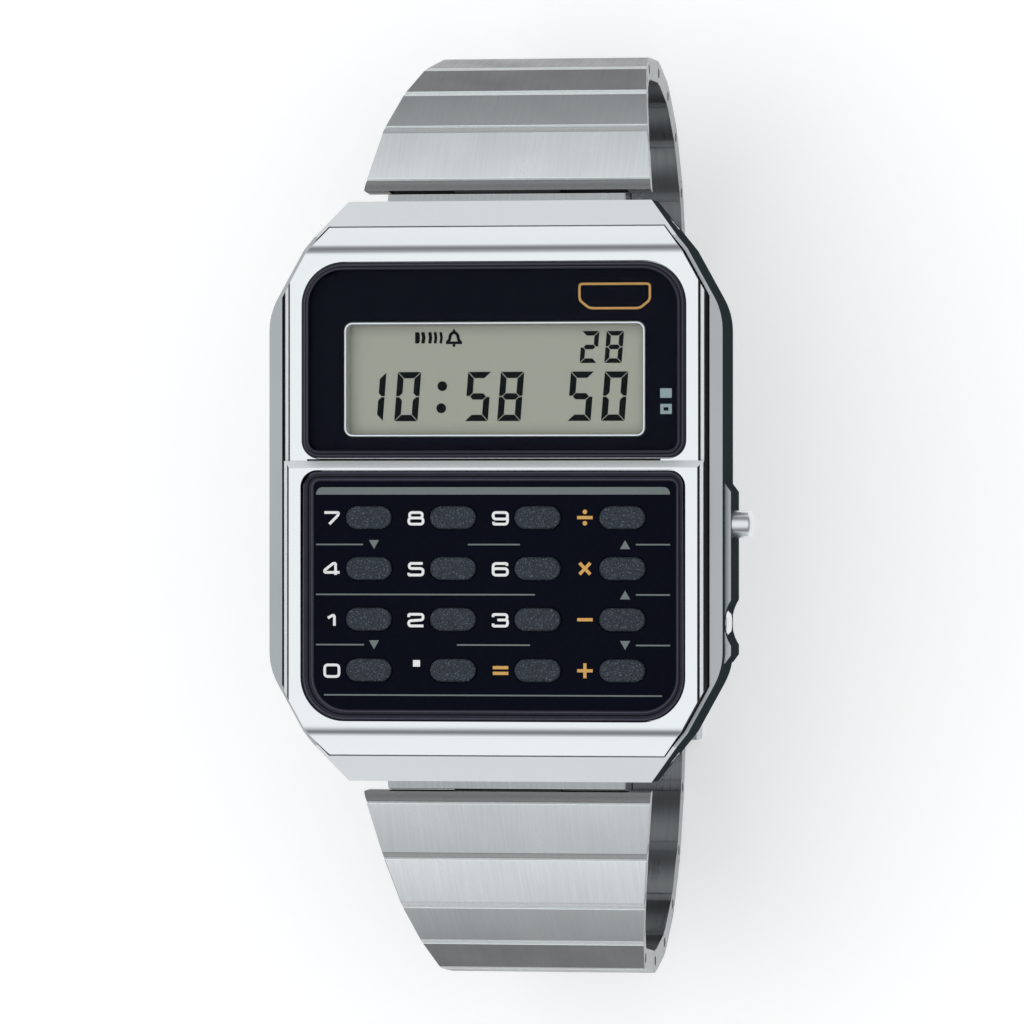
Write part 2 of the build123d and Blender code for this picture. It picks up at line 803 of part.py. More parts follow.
def disc(plane, radius, centre_x=0):
    """Round section about a pin."""
    with BuildSketch(plane) as section:
        with Locations((centre_x, 0)):
            Circle(radius)
    return section.sketch


def plate_profile(plane, near_radius, lip, length):
    """Section of a link: near barrel, raised lip or plain start, flat face, and a hollow far end."""
    far_back_angle = 180 - degrees(acos(link_back / barrel_seat))
    with BuildSketch(plane) as profile:
        with BuildLine():
            far_top = around_pin(link_face / cos(radians(far_edge_angle)), far_edge_angle, length)
            far_low = around_pin(barrel_seat, far_edge_angle, length)
            far_middle = around_pin(barrel_seat, (far_edge_angle + far_back_angle) / 2, length)
            far_back = around_pin(barrel_seat, far_back_angle, length)
            if lip:
                lip_edge = around_pin(lip_radius, lip_lap_angle)
                lip_foot = around_pin(lip_radius, -degrees(acos(link_face / lip_radius)))
                Line((0, 0), lip_edge)
                ThreePointArc(lip_edge, around_pin(lip_radius, 0), lip_foot)
                Line(lip_foot, far_top)
            else:
                Polyline((0, 0), (0, link_face), far_top)
            Line(far_top, far_low)
            ThreePointArc(far_low, far_middle, far_back)
            Polyline(far_back, (0, -link_back), (0, 0))
        make_face()
        Circle(near_radius)
    return profile.sketch


def tongue_profile(plane, length):
    """Section of the middle barrel at a link's far end, with the web that carries it."""
    web_start = length - 2 * barrel_seat
    with BuildSketch(plane) as profile:
        with BuildLine():
            web_top = around_pin(barrel_radius, far_edge_angle, length)
            Polyline(
                (web_start, -link_back),
                (length, -link_back),
                (length, web_top[1]),
                (web_start, web_top[1]),
                close=True,
            )
        make_face()
        with Locations((length, 0)):
            Circle(barrel_radius)
    return profile.sketch


def taper_plan(side, distance, height, angle, near_width, far_width, length):
    """Plan of a tapered link, from behind its lip to past its far barrel."""
    along = (0, side * cos(radians(angle)), -sin(radians(angle)))
    outward = (0, side * sin(radians(angle)), cos(radians(angle)))
    growth = (near_width - far_width) / length
    behind = -lip_radius
    beyond = length + barrel_radius
    behind_half = (near_width - growth * behind) / 2
    beyond_half = (near_width - growth * beyond) / 2
    with BuildSketch(Plane(origin=(0, side * distance, height), x_dir=along, z_dir=outward)) as plan:
        with BuildLine():
            Polyline(
                (behind, behind_half),
                (beyond, beyond_half),
                (beyond, -beyond_half),
                (behind, -behind_half),
                close=True,
            )
        make_face()
    return plan.sketch


def build_link(name, side, pin, angle, near_width, far_width, tongue_width):
    """One link with the pin that joins it to the link before it."""
    distance, depth = pin
    height = level(depth)
    plane = band_plane(side, distance, height, angle)
    with BuildPart() as link:
        extrude(plate_profile(plane, barrel_radius, True, link_pitch), amount=near_width, both=True)
        plan = taper_plan(side, distance, height, angle, near_width, far_width, link_pitch)
        extrude(plan, amount=link_pitch, both=True, mode=Mode.INTERSECT)
        chamfer(link.faces().sort_by(Axis.X)[0].edges(), link_edge_bevel)
        chamfer(link.faces().sort_by(Axis.X)[-1].edges(), link_edge_bevel)
        extrude(disc(plane, barrel_seat), amount=knuckle_slot / 2, both=True, mode=Mode.SUBTRACT)
        extrude(tongue_profile(plane, link_pitch), amount=tongue_width / 2, both=True)
        extrude(
            disc(plane, link_pin_radius + link_pin_fit, link_pitch),
            amount=tongue_width,
            both=True,
            mode=Mode.SUBTRACT,
        )
        extrude(disc(plane, link_pin_seat_radius), amount=near_width, both=True, mode=Mode.SUBTRACT)
        extrude(disc(plane, link_pin_radius), amount=near_width / 2 - link_pin_sink, both=True)
    link.part.label = name
    export_step(link.part, f"parts/{name}.step")


def build_end_link(name, side):
    """Short link between the lugs, turning on the spring bar."""
    plane = band_plane(side, spring_bar_y, level(spring_bar_depth), end_link_angle)
    with BuildPart() as end_link:
        extrude(
            plate_profile(plane, end_knuckle_radius, False, end_link_pitch),
            amount=end_link_width / 2,
            both=True,
        )
        extrude(tongue_profile(plane, end_link_pitch), amount=knuckle_width / 2, both=True)
        extrude(
            disc(plane, link_pin_radius + link_pin_fit, end_link_pitch),
            amount=knuckle_width,
            both=True,
            mode=Mode.SUBTRACT,
        )
        extrude(
            disc(plane, spring_bar_radius + spring_bar_fit),
            amount=end_link_width,
            both=True,
            mode=Mode.SUBTRACT,
        )
    end_link.part.label = name
    export_step(end_link.part, f"parts/{name}.step")


def width_at(index):
    """Band width at a pin, counted from the case."""
    return max(band_narrow_width, band_width - band_taper_step * index)


clasp_tongue_width = band_narrow_width - 2 * cover_side_gap
band_halves = [
    ("upper", 1, upper_pins, upper_link_angles),
    ("lower", -1, lower_pins, lower_link_angles),
]
for half, side, pins, angles in band_halves:
    build_end_link(f"{half}_end_link", side)
    for index, angle in enumerate(angles):
        last_lower = side < 0 and index == len(angles) - 1
        build_link(
            f"{half}_link_{index + 1}",
            side,
            pins[index],
            angle,
            width_at(index),
            width_at(index + 1),
            clasp_tongue_width if last_lower else knuckle_width,
        )


# Folding clasp

inner_pivot_y = upper_pins[-1][0]
cover_pivot_y = -lower_pins[-1][0]
cover_pivot_height = level(lower_pins[-1][1])
cover_hinge_y = inner_pivot_y - cover_hinge_setback
leaf_hinge_y = cover_pivot_y + leaf_hinge_setback
cover_hinge_height = middle_leaf_height + leaf_thickness / 2
leaf_half = cover_inner_half - leaf_side_gap
cover_floor_start_y = cover_pivot_y + cover_floor_setback
cover_start_y = cover_pivot_y - cover_end_reach
cover_end_y = cover_hinge_y + cover_end_reach
inner_leaf_height = clasp_pivot_height - leaf_thickness / 2


def side_disc(y, z, radius):
    """Round section in the YZ plane."""
    with BuildSketch(Plane.YZ) as section:
        with Locations((y, z)):
            Circle(radius)
    return section.sketch


with BuildPart() as clasp_cover:
    with BuildSketch():
        with Locations((0, (cover_floor_start_y + cover_end_y) / 2)):
            Rectangle(2 * cover_half, cover_end_y - cover_floor_start_y)
    extrude(amount=cover_floor)
    for side in (1, -1):
        with BuildSketch():
            with Locations((side * (cover_inner_half + cover_wall / 2), (cover_start_y + cover_end_y) / 2)):
                Rectangle(cover_wall, cover_end_y - cover_start_y)
        extrude(amount=cover_wall_height)
    ground_edges = clasp_cover.edges().filter_by(Axis.Y).group_by(Axis.Z)[0]
    fillet(ground_edges.sort_by(Axis.X)[0], cover_edge_round)
    fillet(clasp_cover.edges().filter_by(Axis.Y).group_by(Axis.Z)[0].sort_by(Axis.X)[-1], cover_edge_round)
    for number in range(1, adjust_hole_count):
        hole_y = cover_pivot_y + number * adjust_hole_spacing
        hole = side_disc(hole_y, cover_pivot_height, clasp_pin_radius)
        extrude(hole, amount=case_width, both=True, mode=Mode.SUBTRACT)
    with BuildSketch(Plane.YZ.offset(cover_inner_half - clasp_gap)) as cover_stub:
        with Locations((cover_pivot_y, cover_pivot_height)):
            Circle(clasp_pin_radius)
    extrude(amount=cover_wall)
    with BuildSketch(Plane.YZ.offset(-cover_inner_half + clasp_gap)):
        with Locations((cover_pivot_y, cover_pivot_height)):
            Circle(clasp_pin_radius)
    extrude(amount=-cover_wall)
    cover_pin = side_disc(cover_hinge_y, cover_hinge_height, clasp_pin_radius)
    extrude(cover_pin, amount=cover_half - clasp_gap, both=True)
clasp_cover.part.label = "clasp_cover"
export_step(clasp_cover.part, "parts/clasp_cover.step")

with BuildPart() as clasp_middle_leaf:
    with BuildSketch(Plane.XY.offset(middle_leaf_height)):
        with Locations((0, (leaf_hinge_y + cover_hinge_y) / 2)):
            Rectangle(2 * leaf_half, cover_hinge_y - leaf_hinge_y)
    extrude(amount=leaf_thickness)
    cover_barrel = side_disc(cover_hinge_y, cover_hinge_height, cover_hinge_radius)
    extrude(cover_barrel, amount=cover_inner_half - clasp_gap, both=True)
    extrude(
        side_disc(cover_hinge_y, cover_hinge_height, clasp_pin_radius + link_pin_fit),
        amount=cover_half,
        both=True,
        mode=Mode.SUBTRACT,
    )
    extrude(side_disc(leaf_hinge_y, leaf_hinge_height, leaf_barrel_radius), amount=leaf_half, both=True)
    extrude(
        side_disc(leaf_hinge_y, leaf_hinge_height, leaf_barrel_radius + clasp_gap),
        amount=leaf_knuckle_width / 2 + clasp_gap,
        both=True,
        mode=Mode.SUBTRACT,
    )
    extrude(
        side_disc(leaf_hinge_y, leaf_hinge_height, clasp_pin_radius + link_pin_fit),
        amount=leaf_half,
        both=True,
        mode=Mode.SUBTRACT,
    )
clasp_middle_leaf.part.label = "clasp_middle_leaf"
export_step(clasp_middle_leaf.part, "parts/clasp_middle_leaf.step")

inner_plane = band_plane(1, inner_pivot_y, clasp_pivot_height, 180)
with BuildPart() as clasp_inner_leaf:
    extrude(
        plate_profile(inner_plane, barrel_radius, True, inner_leaf_head_length + barrel_seat),
        amount=band_narrow_width / 2,
        both=True,
    )
    extrude(disc(inner_plane, barrel_seat), amount=knuckle_slot / 2, both=True, mode=Mode.SUBTRACT)
    with BuildSketch(Plane.XY.offset(inner_leaf_height)):
        with Locations((0, (leaf_hinge_y + inner_pivot_y - inner_leaf_head_length / 2) / 2)):
            Rectangle(2 * leaf_half, inner_pivot_y - inner_leaf_head_length / 2 - leaf_hinge_y)
    extrude(amount=leaf_thickness)
    extrude(
        side_disc(leaf_hinge_y, leaf_hinge_height, leaf_barrel_radius + clasp_gap),
        amount=leaf_half,
        both=True,
        mode=Mode.SUBTRACT,
    )
    leaf_barrel = side_disc(leaf_hinge_y, leaf_hinge_height, leaf_barrel_radius)
    extrude(leaf_barrel, amount=leaf_knuckle_width / 2, both=True)
    with BuildSketch(Plane.XY.offset(inner_leaf_height)):
        with Locations((0, leaf_hinge_y + leaf_barrel_radius)):
            Rectangle(leaf_knuckle_width, 2 * leaf_barrel_radius)
    extrude(amount=leaf_thickness)
    extrude(side_disc(leaf_hinge_y, leaf_hinge_height, clasp_pin_radius), amount=leaf_half, both=True)
    extrude(disc(inner_plane, link_pin_seat_radius), amount=case_width, both=True, mode=Mode.SUBTRACT)
    extrude(disc(inner_plane, link_pin_radius), amount=band_narrow_width / 2 - link_pin_sink, both=True)
clasp_inner_leaf.part.label = "clasp_inner_leaf"
export_step(clasp_inner_leaf.part, "parts/clasp_inner_leaf.step")

print("pin heights at the clasp", round(level(upper_pins[-1][1]), 3), round(cover_pivot_height, 3))
print("watch height", round(bezel_top + crystal_rise, 2))
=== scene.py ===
from functools import partial
from math import acos, asin, cos, degrees, pi, radians, sin, tan

import bmesh
import bpy
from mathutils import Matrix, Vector


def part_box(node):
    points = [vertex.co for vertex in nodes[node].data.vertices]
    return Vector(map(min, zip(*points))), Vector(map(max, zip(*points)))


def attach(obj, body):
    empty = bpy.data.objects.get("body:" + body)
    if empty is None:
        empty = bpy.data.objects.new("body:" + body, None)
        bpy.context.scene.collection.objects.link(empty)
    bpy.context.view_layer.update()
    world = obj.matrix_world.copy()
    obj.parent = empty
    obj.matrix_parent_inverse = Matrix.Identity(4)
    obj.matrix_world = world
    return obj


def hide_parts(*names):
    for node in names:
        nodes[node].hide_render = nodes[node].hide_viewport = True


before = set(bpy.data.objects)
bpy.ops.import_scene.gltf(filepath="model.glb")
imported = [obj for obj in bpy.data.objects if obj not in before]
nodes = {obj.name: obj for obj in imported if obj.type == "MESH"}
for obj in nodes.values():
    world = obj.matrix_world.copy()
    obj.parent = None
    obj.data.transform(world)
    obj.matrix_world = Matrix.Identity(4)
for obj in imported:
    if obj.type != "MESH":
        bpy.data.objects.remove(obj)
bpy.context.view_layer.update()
MM = 0.001


# Case body: one stamped and machined block of stainless steel. Its shoulder and sloped ends are
# fine brushed, and its brushed side walls carry a painted dark reflection where seen edge on.
# The bezel, the module and the case back all seat in it.

CASE_STEEL = (0.70, 0.73, 0.745)
SHOULDER_STEEL = (0.47, 0.50, 0.51)
WALL_STEEL = (0.46, 0.49, 0.50)
# Painted dark reflection: the colour the outer walls turn to when seen almost edge on.
WALL_PAINTED_DARK_REFLECTION = (0.030, 0.040, 0.043, 1)
WALL_DARK_REFLECTION_FACING = (0.5, 0.78)
CASE_ROUGHNESS = 0.24
CASE_GRAIN = (300, 9000, 9000)
CASE_EDGE_ROUND = 0.06
OUTER_EDGE_ROUND = 0.12
POCKET_DEPTH = 1.4
POCKET_HALF = (16.4, 20)
LUG_OUTER_X = 11.2
LUG_SLANT_X = 11.0
STEEP = 0.3
NEARLY_LEVEL = 0.98
FLAT_ANGLE = radians(0.4)
SHARP_ANGLE = radians(28)
WELD_DISTANCE = 0.002
EDGE_SEGMENTS = 2
FLAT_WEIGHT = 90
COAT_ROUGHNESS = 0.06
GRAIN_NOISE = {"Scale": 1.0, "Detail": 4.0, "Roughness": 0.6}
NOISE_SPREAD = (0.3, 0.7)
LEAST_ROUGHNESS = 0.02
BUMP_STRENGTH = 0.5
RELIEF_UNIT = 1e-6


def feed(tree, socket, value):
    """Joins an output to a socket, or sets a plain value on it."""
    if isinstance(value, bpy.types.NodeSocket):
        tree.links.new(value, socket)
    else:
        socket.default_value = value


def preset(node, settings):
    """A node with its inputs set by name."""
    for label, value in settings.items():
        node.inputs[label].default_value = value
    return node


def arithmetic(tree, operation, *values):
    """One arithmetic step on values or outputs."""
    step = tree.nodes.new("ShaderNodeMath")
    step.operation = operation
    for socket, value in zip(step.inputs, values):
        feed(tree, socket, value)
    return step.outputs["Value"]


def passing(tree, value, low, high, kind="SMOOTHSTEP", start=0.0, stop=1.0):
    """Goes from start to stop as a value passes from low to high."""
    step = tree.nodes.new("ShaderNodeMapRange")
    step.interpolation_type = kind
    labels = ("Value", "From Min", "From Max", "To Min", "To Max")
    for label, given in zip(labels, (value, low, high, start, stop)):
        feed(tree, step.inputs[label], given)
    return step.outputs["Result"]


def mixed(tree, kind, mask, first, second, blend="MIX"):
    """Two values or colours mixed by a mask."""
    mix = tree.nodes.new("ShaderNodeMix")
    mix.data_type = kind
    mix.blend_type = blend
    feed(tree, mix.inputs["Factor"], mask)
    both = [i for i in mix.inputs if i.name in "AB" and i.enabled]
    for socket, value in zip(both, (first, second)):
        feed(tree, socket, value)
    return next(o for o in mix.outputs if o.enabled)


def cover(tree, kind, mask, socket, other, blend="MIX"):
    """Puts another value over what feeds a socket, where a mask says so."""
    fed = socket.links[0].from_socket
    tree.links.new(mixed(tree, kind, mask, fed, other, blend), socket)


def noise(tree, spot, **settings):
    """Noise over a place, with its settings by name."""
    cloud = tree.nodes.new("ShaderNodeTexNoise")
    if "W" in settings:
        cloud.noise_dimensions = "4D"
    tree.links.new(spot, preset(cloud, settings).inputs["Vector"])
    return cloud.outputs["Fac"]


def finish_of(metallic, name, colour, roughness, grain, shade=0.05, rub=0.05, relief=1.0,
              place=None, coat=0.0, smudge=60, shine=0.5):
    """A finish with fine grain in colour, roughness and relief, and broad handling smudges."""
    finish = bpy.data.materials.new(name)
    finish.use_nodes = True
    tree = finish.node_tree
    new, join = tree.nodes.new, tree.links.new
    shader = preset(tree.nodes["Principled BSDF"], {
        "Metallic": metallic, "Coat Weight": coat, "Coat Roughness": COAT_ROUGHNESS,
        "Specular IOR Level": shine,
    }).inputs
    if place:
        where = new("ShaderNodeAttribute")
        where.attribute_name = place
        spot = where.outputs["Vector"]
    else:
        spot = new("ShaderNodeTexCoord").outputs["Object"]
    grain = grain if isinstance(grain, tuple) else (grain,) * 3
    stretch = preset(new("ShaderNodeMapping"), {"Scale": grain})
    join(spot, stretch.inputs["Vector"])
    lines = noise(tree, stretch.outputs["Vector"], **GRAIN_NOISE)
    smears = noise(tree, spot, Scale=smudge, Detail=3.0)
    tones = [(*[min(c * share, 1) for c in colour], 1) for share in (1 - shade, 1 + shade)]
    join(mixed(tree, "RGBA", lines, *tones), shader["Base Color"])
    worn = arithmetic(tree, "MULTIPLY_ADD", smears, 0.5, arithmetic(tree, "MULTIPLY", lines, 0.5))
    rough = passing(
        tree, worn, *NOISE_SPREAD, "LINEAR", max(roughness - rub, LEAST_ROUGHNESS), roughness + rub
    )
    join(rough, shader["Roughness"])
    bump = preset(
        new("ShaderNodeBump"), {"Strength": BUMP_STRENGTH, "Distance": relief * RELIEF_UNIT}
    )
    join(lines, bump.inputs["Height"])
    join(bump.outputs["Normal"], shader["Normal"])
    return finish


metal = partial(finish_of, 1.0)
plastic = partial(finish_of, 0.0, shade=0.2, rub=0.1)


def in_scene(name, data):
    """An object with its data, linked into the scene."""
    thing = bpy.data.objects.new(name, data)
    bpy.context.scene.collection.objects.link(thing)
    return thing


def shown(name, mesh, body, replaced=None, edge_round=0.0):
    """Puts a finished mesh into the scene on its body, with its sharp edges softened."""
    piece = in_scene(name, mesh)
    mesh.shade_smooth()
    mesh.set_sharp_from_angle(angle=SHARP_ANGLE)
    if edge_round:
        bevel = piece.modifiers.new("softened edges", "BEVEL")
        bevel.width = edge_round * MM
        bevel.segments = EDGE_SEGMENTS
        bevel.limit_method = "ANGLE"
        bevel.angle_limit = SHARP_ANGLE
        flat = piece.modifiers.new("true flats", "WEIGHTED_NORMAL")
        flat.mode = "FACE_AREA"
        flat.weight = FLAT_WEIGHT
        flat.keep_sharp = True
    if replaced:
        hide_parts(replaced)
    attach(piece, body)


def mesh_of(form, name):
    """A mesh made from a form, which is then done with."""
    mesh = bpy.data.meshes.new(name)
    form.to_mesh(mesh)
    form.free()
    return mesh


def merged_copy(node):
    """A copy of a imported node's mesh with its loose triangles joined into clean faces."""
    form = bmesh.new()
    form.from_mesh(nodes[node].data)
    bmesh.ops.remove_doubles(form, verts=form.verts, dist=WELD_DISTANCE * MM)
    bmesh.ops.dissolve_limit(
        form, angle_limit=FLAT_ANGLE, verts=form.verts, edges=form.edges, delimit={"NORMAL"}
    )
    return mesh_of(form, f"{node}_shape")


def round_over(mesh, pick, width, finish_number):
    """Rounds the picked edges of a mesh over in a finish of their own."""
    form = bmesh.new()
    form.from_mesh(mesh)
    edges = [e for e in form.edges if len(e.link_faces) == 2 and e.is_convex and pick(e)]
    bmesh.ops.bevel(
        form, geom=edges, offset=width * MM, offset_type="OFFSET", segments=4, profile=0.5,
        affect="EDGES", clamp_overlap=True, material=finish_number,
    )
    form.to_mesh(mesh)
    form.free()


def finished_node(node, slot, *finishes, body="watch_case", edge_round=0, choose=None, outer=None):
    """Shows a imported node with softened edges; choose gives a face's finish from its place."""
    mesh = merged_copy(node)
    for finish in finishes:
        mesh.materials.append(finish)
    if choose:
        for face in mesh.polygons:
            face.material_index = choose(face.center / MM, face.normal)
    if outer:
        round_over(mesh, *outer)
    shown(f"{node}_finished", mesh, body, node, edge_round)


def plain_node(node, finish):
    """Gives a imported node, left as it is, a better finish."""
    own = nodes[node].data.materials
    own.clear()
    own.append(finish)


def paint_dark_reflection_at_grazing(finish, start, stop):
    """Paints a dark reflection: a metal turns dark and dull where seen almost along its surface."""
    tree = finish.node_tree
    shader = tree.nodes["Principled BSDF"].inputs
    facing = tree.nodes.new("ShaderNodeLayerWeight").outputs["Facing"]
    share = passing(tree, facing, start, stop)
    tree.links.new(arithmetic(tree, "SUBTRACT", 1.0, share), shader["Metallic"])
    cover(tree, "RGBA", share, shader["Base Color"], WALL_PAINTED_DARK_REFLECTION)


case_steel = metal(
    "satin_case_steel", CASE_STEEL, CASE_ROUGHNESS, CASE_GRAIN, shade=0.04, rub=0.06, relief=0.6
)
wall_steel = metal(
    "brushed_wall_steel", WALL_STEEL, 0.26, (2500, 2500, 900), shade=0.08, rub=0.06, relief=0.6,
    shine=0.0,
)
paint_dark_reflection_at_grazing(wall_steel, *WALL_DARK_REFLECTION_FACING)
shoulder_steel = metal(
    "satin_shoulder_steel", SHOULDER_STEEL, 0.34, (900, 5000, 5000), rub=0.06, relief=1.2
)
# Painted shade: a near black finish on seam walls, steep edges and a fold line, where shade and
# dark reflections fall.
painted_shade_black = plastic("dark_seam_film", (0.012, 0.013, 0.015), 0.6, 4000, shade=0.3, shine=0.1)
case_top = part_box("case_body")[1].z / MM


def case_finish(middle, normal):
    """Brushed slopes, a duller shoulder, painted dark reflection on walls, painted shade in the
    seam.
    """
    across, along = abs(middle.x), abs(middle.y)
    upright = abs(normal.z) < STEEP
    in_pocket = across < POCKET_HALF[0] and along < POCKET_HALF[1]
    if upright and in_pocket and middle.z > case_top - POCKET_DEPTH:
        return 3
    if upright and (across > LUG_OUTER_X or abs(normal.x) > STEEP and across > LUG_SLANT_X):
        return 1
    return 2 if normal.z > NEARLY_LEVEL else 0


def outer_case_edge(edge):
    """Whether an edge lies between an outer wall and the face above it."""
    wall, top = sorted(edge.link_faces, key=lambda face: abs(face.normal.z))
    return wall.material_index == 1 and abs(wall.normal.z) < STEEP and top.normal.z > 0.5


finished_node(
    "case_body", "case_metal", case_steel, wall_steel, shoulder_steel, painted_shade_black,
    edge_round=CASE_EDGE_ROUND, choose=case_finish, outer=(outer_case_edge, OUTER_EDGE_ROUND, 1),
)


# Spring bars: turned steel bars with sprung tips that hold the end links between the lugs.
# Only their bright tips show, through the holes in the lug walls.

bar_steel = metal("turned_bar_steel", (0.78, 0.79, 0.80), 0.16, (9000, 400, 400), rub=0.06)
plain_node("spring_bars", bar_steel)


# Module: the moulded frame, the printed circuit board, the coin cell under its spring clip,
# and the brass disc that beeps. They drop into the case from behind and show nothing outside.

frame_plastic = plastic(
    "black_module_plastic", (0.02, 0.021, 0.024), 0.45, 3000, shade=0.25, rub=0.12, relief=6
)
board_laminate = plastic(
    "green_board_laminate", (0.03, 0.16, 0.07), 0.35, (4000, 600, 2000), shade=0.25, relief=4,
    coat=0.3,
)
cell_steel = metal(
    "coin_cell_steel", (0.72, 0.73, 0.74), 0.22, (500, 7000, 500), shade=0.06, rub=0.07
)
spring_brass = metal(
    "rolled_spring_brass", (0.80, 0.58, 0.27), 0.28, (600, 8000, 600), shade=0.08, rub=0.08
)
plain_node("module_frame", frame_plastic)
plain_node("circuit_board", board_laminate)
plain_node("battery", cell_steel)
plain_node("battery_clip", spring_brass)
plain_node("alarm_buzzer", spring_brass)


# Case back: a stamped and brushed plate of stainless steel that closes the case from below. It
# presses a thin rubber gasket into its seat, and four slotted screws hold it.

back_steel = metal(
    "stamped_back_steel", (0.66, 0.67, 0.68), 0.30, (8000, 260, 3000), shade=0.06, rub=0.08
)
gasket_rubber = plastic("gasket_rubber", (0.02, 0.02, 0.02), 0.6, 3000, relief=8)
screw_steel = metal(
    "turned_screw_steel", (0.70, 0.71, 0.73), 0.22, (6000, 6000, 400), shade=0.08, rub=0.08
)
finished_node("case_back", "back_steel", back_steel, edge_round=0.08)
plain_node("back_gasket", gasket_rubber)
plain_node("case_back_screws", screw_steel)


# Bezel: one polished chrome plated plate over the whole case front. The keypad half stands half a
# millimetre higher than the display half, and both ends fold down to the case ends.

BEZEL_CHROME = (0.83, 0.86, 0.88)
BEZEL_ROUGHNESS = 0.09
BEZEL_EDGE_ROUND = 0.07
BEAD_TILT = 0.15
SIDE_TILT = 0.5
STEP_TILT = (0.4, 0.95)
STEP_REACH = 3

bezel_chrome = metal(
    "polished_bezel_chrome", BEZEL_CHROME, BEZEL_ROUGHNESS, 900, shade=0.012, rub=0.035, relief=0.5
)
step_satin = finish_of(
    0.25, "satin_step_metal", (0.80, 0.83, 0.84), 0.42, 3000, shade=0.04, rub=0.06
)


def bezel_finish(middle, normal):
    """Polished faces, a satin step and bead, and steep edges in a painted dark reflection."""
    if abs(normal.z) < STEEP or abs(normal.x) > SIDE_TILT:
        return 2
    on_step = STEP_TILT[0] < normal.y < STEP_TILT[1] and abs(middle.y) < STEP_REACH
    on_bead = BEAD_TILT < abs(normal.x) < SIDE_TILT
    return 1 if on_step or on_bead else 0


finished_node(
    "bezel", "bezel_metal", bezel_chrome, step_satin, painted_shade_black,
    edge_round=BEZEL_EDGE_ROUND, choose=bezel_finish,
)
bezel_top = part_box("bezel")[1].z / MM


def level(depth):
    """Height in millimetres of a depth below the bezel's top face."""
    return bezel_top - depth


# Display: the black printed mask under the crystal, the bright frame round its window, and the
# liquid crystal cell below it, whose dark segments form the figures of the time.

PRINT_THICKNESS = 0.012
PRINT_STACK = 0.002
MASK_DEPTH = 0.9
LCD_DEPTH = bezel_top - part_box("lcd_panel")[1].z / MM
SEGMENT_WIDTH = 0.47
SEGMENT_GAP = 0.07
SEGMENT_SLANT = tan(radians(4.5))
LIT_SEGMENTS = {"0": "abcdef", "1": "bc", "2": "abged", "5": "afgcd", "8": "abcdefg"}
TIME_FIGURES = (("1", -9.86), ("0", -7.5), ("5", -2.2), ("8", 0.26), ("5", 5.52), ("0", 8.06))
TIME_LINE = 5.2
TIME_SIZE = (1.76, 3.66)
NARROW_ONE = 1.5
DATE_FIGURES = (("2", 6.35), ("8", 8.2))
DATE_LINE = 9.49
DATE_SIZE = (1.3, 2.37)
DATE_STROKE = 0.34
COLON_DOTS = ((-4.15, 7.8), (-4.23, 6.16))
COLON_RADIUS = 0.37
SOUND_WAVES = ((-5.62, 0.27), (-5.1, 0.25), (-4.7, 0.22), (-4.28, 0.2))
WAVE_FOOT, WAVE_MIDDLE, WAVE_TOP = 10.98, 11.4, 11.82
WAVE_BOW = 0.07
BELL_X = -3.27
BELL_STROKE = 0.23
BELL_BEND = 0.12
GOLD_PRINT = (0.66, 0.36, 0.085)
PALE_PRINT = (0.33, 0.43, 0.44)
MITRE_LIMIT = 0.4
BEND_LIMIT = 2.05
CLOSE_POINTS = 0.002


def show_form(name, form, finish):
    """Shows a form built in millimetres as a piece on the case."""
    bmesh.ops.recalc_face_normals(form, faces=form.faces)
    bmesh.ops.scale(form, vec=(MM, MM, MM), verts=form.verts)
    mesh = mesh_of(form, f"{name}_shape")
    mesh.materials.append(finish)
    shown(name, mesh, "watch_case")


def printed(name, marks, depth, finish):
    """Thin raised print: each mark is a list of outlines that touch, and crossing marks stack."""
    form = bmesh.new()
    for number, outlines in enumerate(marks):
        made = {}
        faces = []
        for outline in outlines:
            corners = []
            for x, y in outline:
                key = (round(x, 4), round(y, 4))
                if key not in made:
                    made[key] = form.verts.new((x, y, level(depth)))
                if made[key] not in corners:
                    corners.append(made[key])
            if len(corners) > 2:
                faces.append(form.faces.new(corners))
        raised = bmesh.ops.extrude_face_region(form, geom=faces, use_keep_orig=True)
        bmesh.ops.translate(
            form,
            verts=[v for v in raised["geom"] if isinstance(v, bmesh.types.BMVert)],
            vec=(0, 0, PRINT_THICKNESS + PRINT_STACK * (number % 3)),
        )
    show_form(name, form, finish)


def segment_outlines(figure, left, bottom, width, height, stroke=SEGMENT_WIDTH):
    """Outlines of the lit segments of one slanted figure."""
    gap = SEGMENT_GAP / 2
    middle = height / 2
    inner = stroke + gap
    half = stroke / 2
    bar = [
        (gap, height), (width - gap, height),
        (width - inner, height - stroke), (inner, height - stroke),
    ]
    side = [
        (0, middle + gap), (half, middle + gap), (stroke, middle + inner - half),
        (stroke, height - inner), (0, height - gap),
    ]
    shapes = {
        "a": bar,
        "b": [(width - x, y) for x, y in side],
        "c": [(width - x, height - y) for x, y in side],
        "d": [(x, height - y) for x, y in bar],
        "e": [(x, height - y) for x, y in side],
        "f": side,
        "g": [
            (half + gap, middle), (inner, middle + half), (width - inner, middle + half),
            (width - half - gap, middle), (width - inner, middle - half), (inner, middle - half),
        ],
    }
    return [
        [[(left + x + (y - height) * SEGMENT_SLANT, bottom + y) for x, y in shapes[lit]]]
        for lit in LIT_SEGMENTS[figure]
    ]


def ring(x, y, radius, count=20):
    """A round outline."""
    turns = [2 * pi * n / count for n in range(count)]
    return [(x + radius * cos(turn), y + radius * sin(turn)) for turn in turns]


def box_outline(left, bottom, right, top):
    """A square cornered outline."""
    return [(left, bottom), (right, bottom), (right, top), (left, top)]


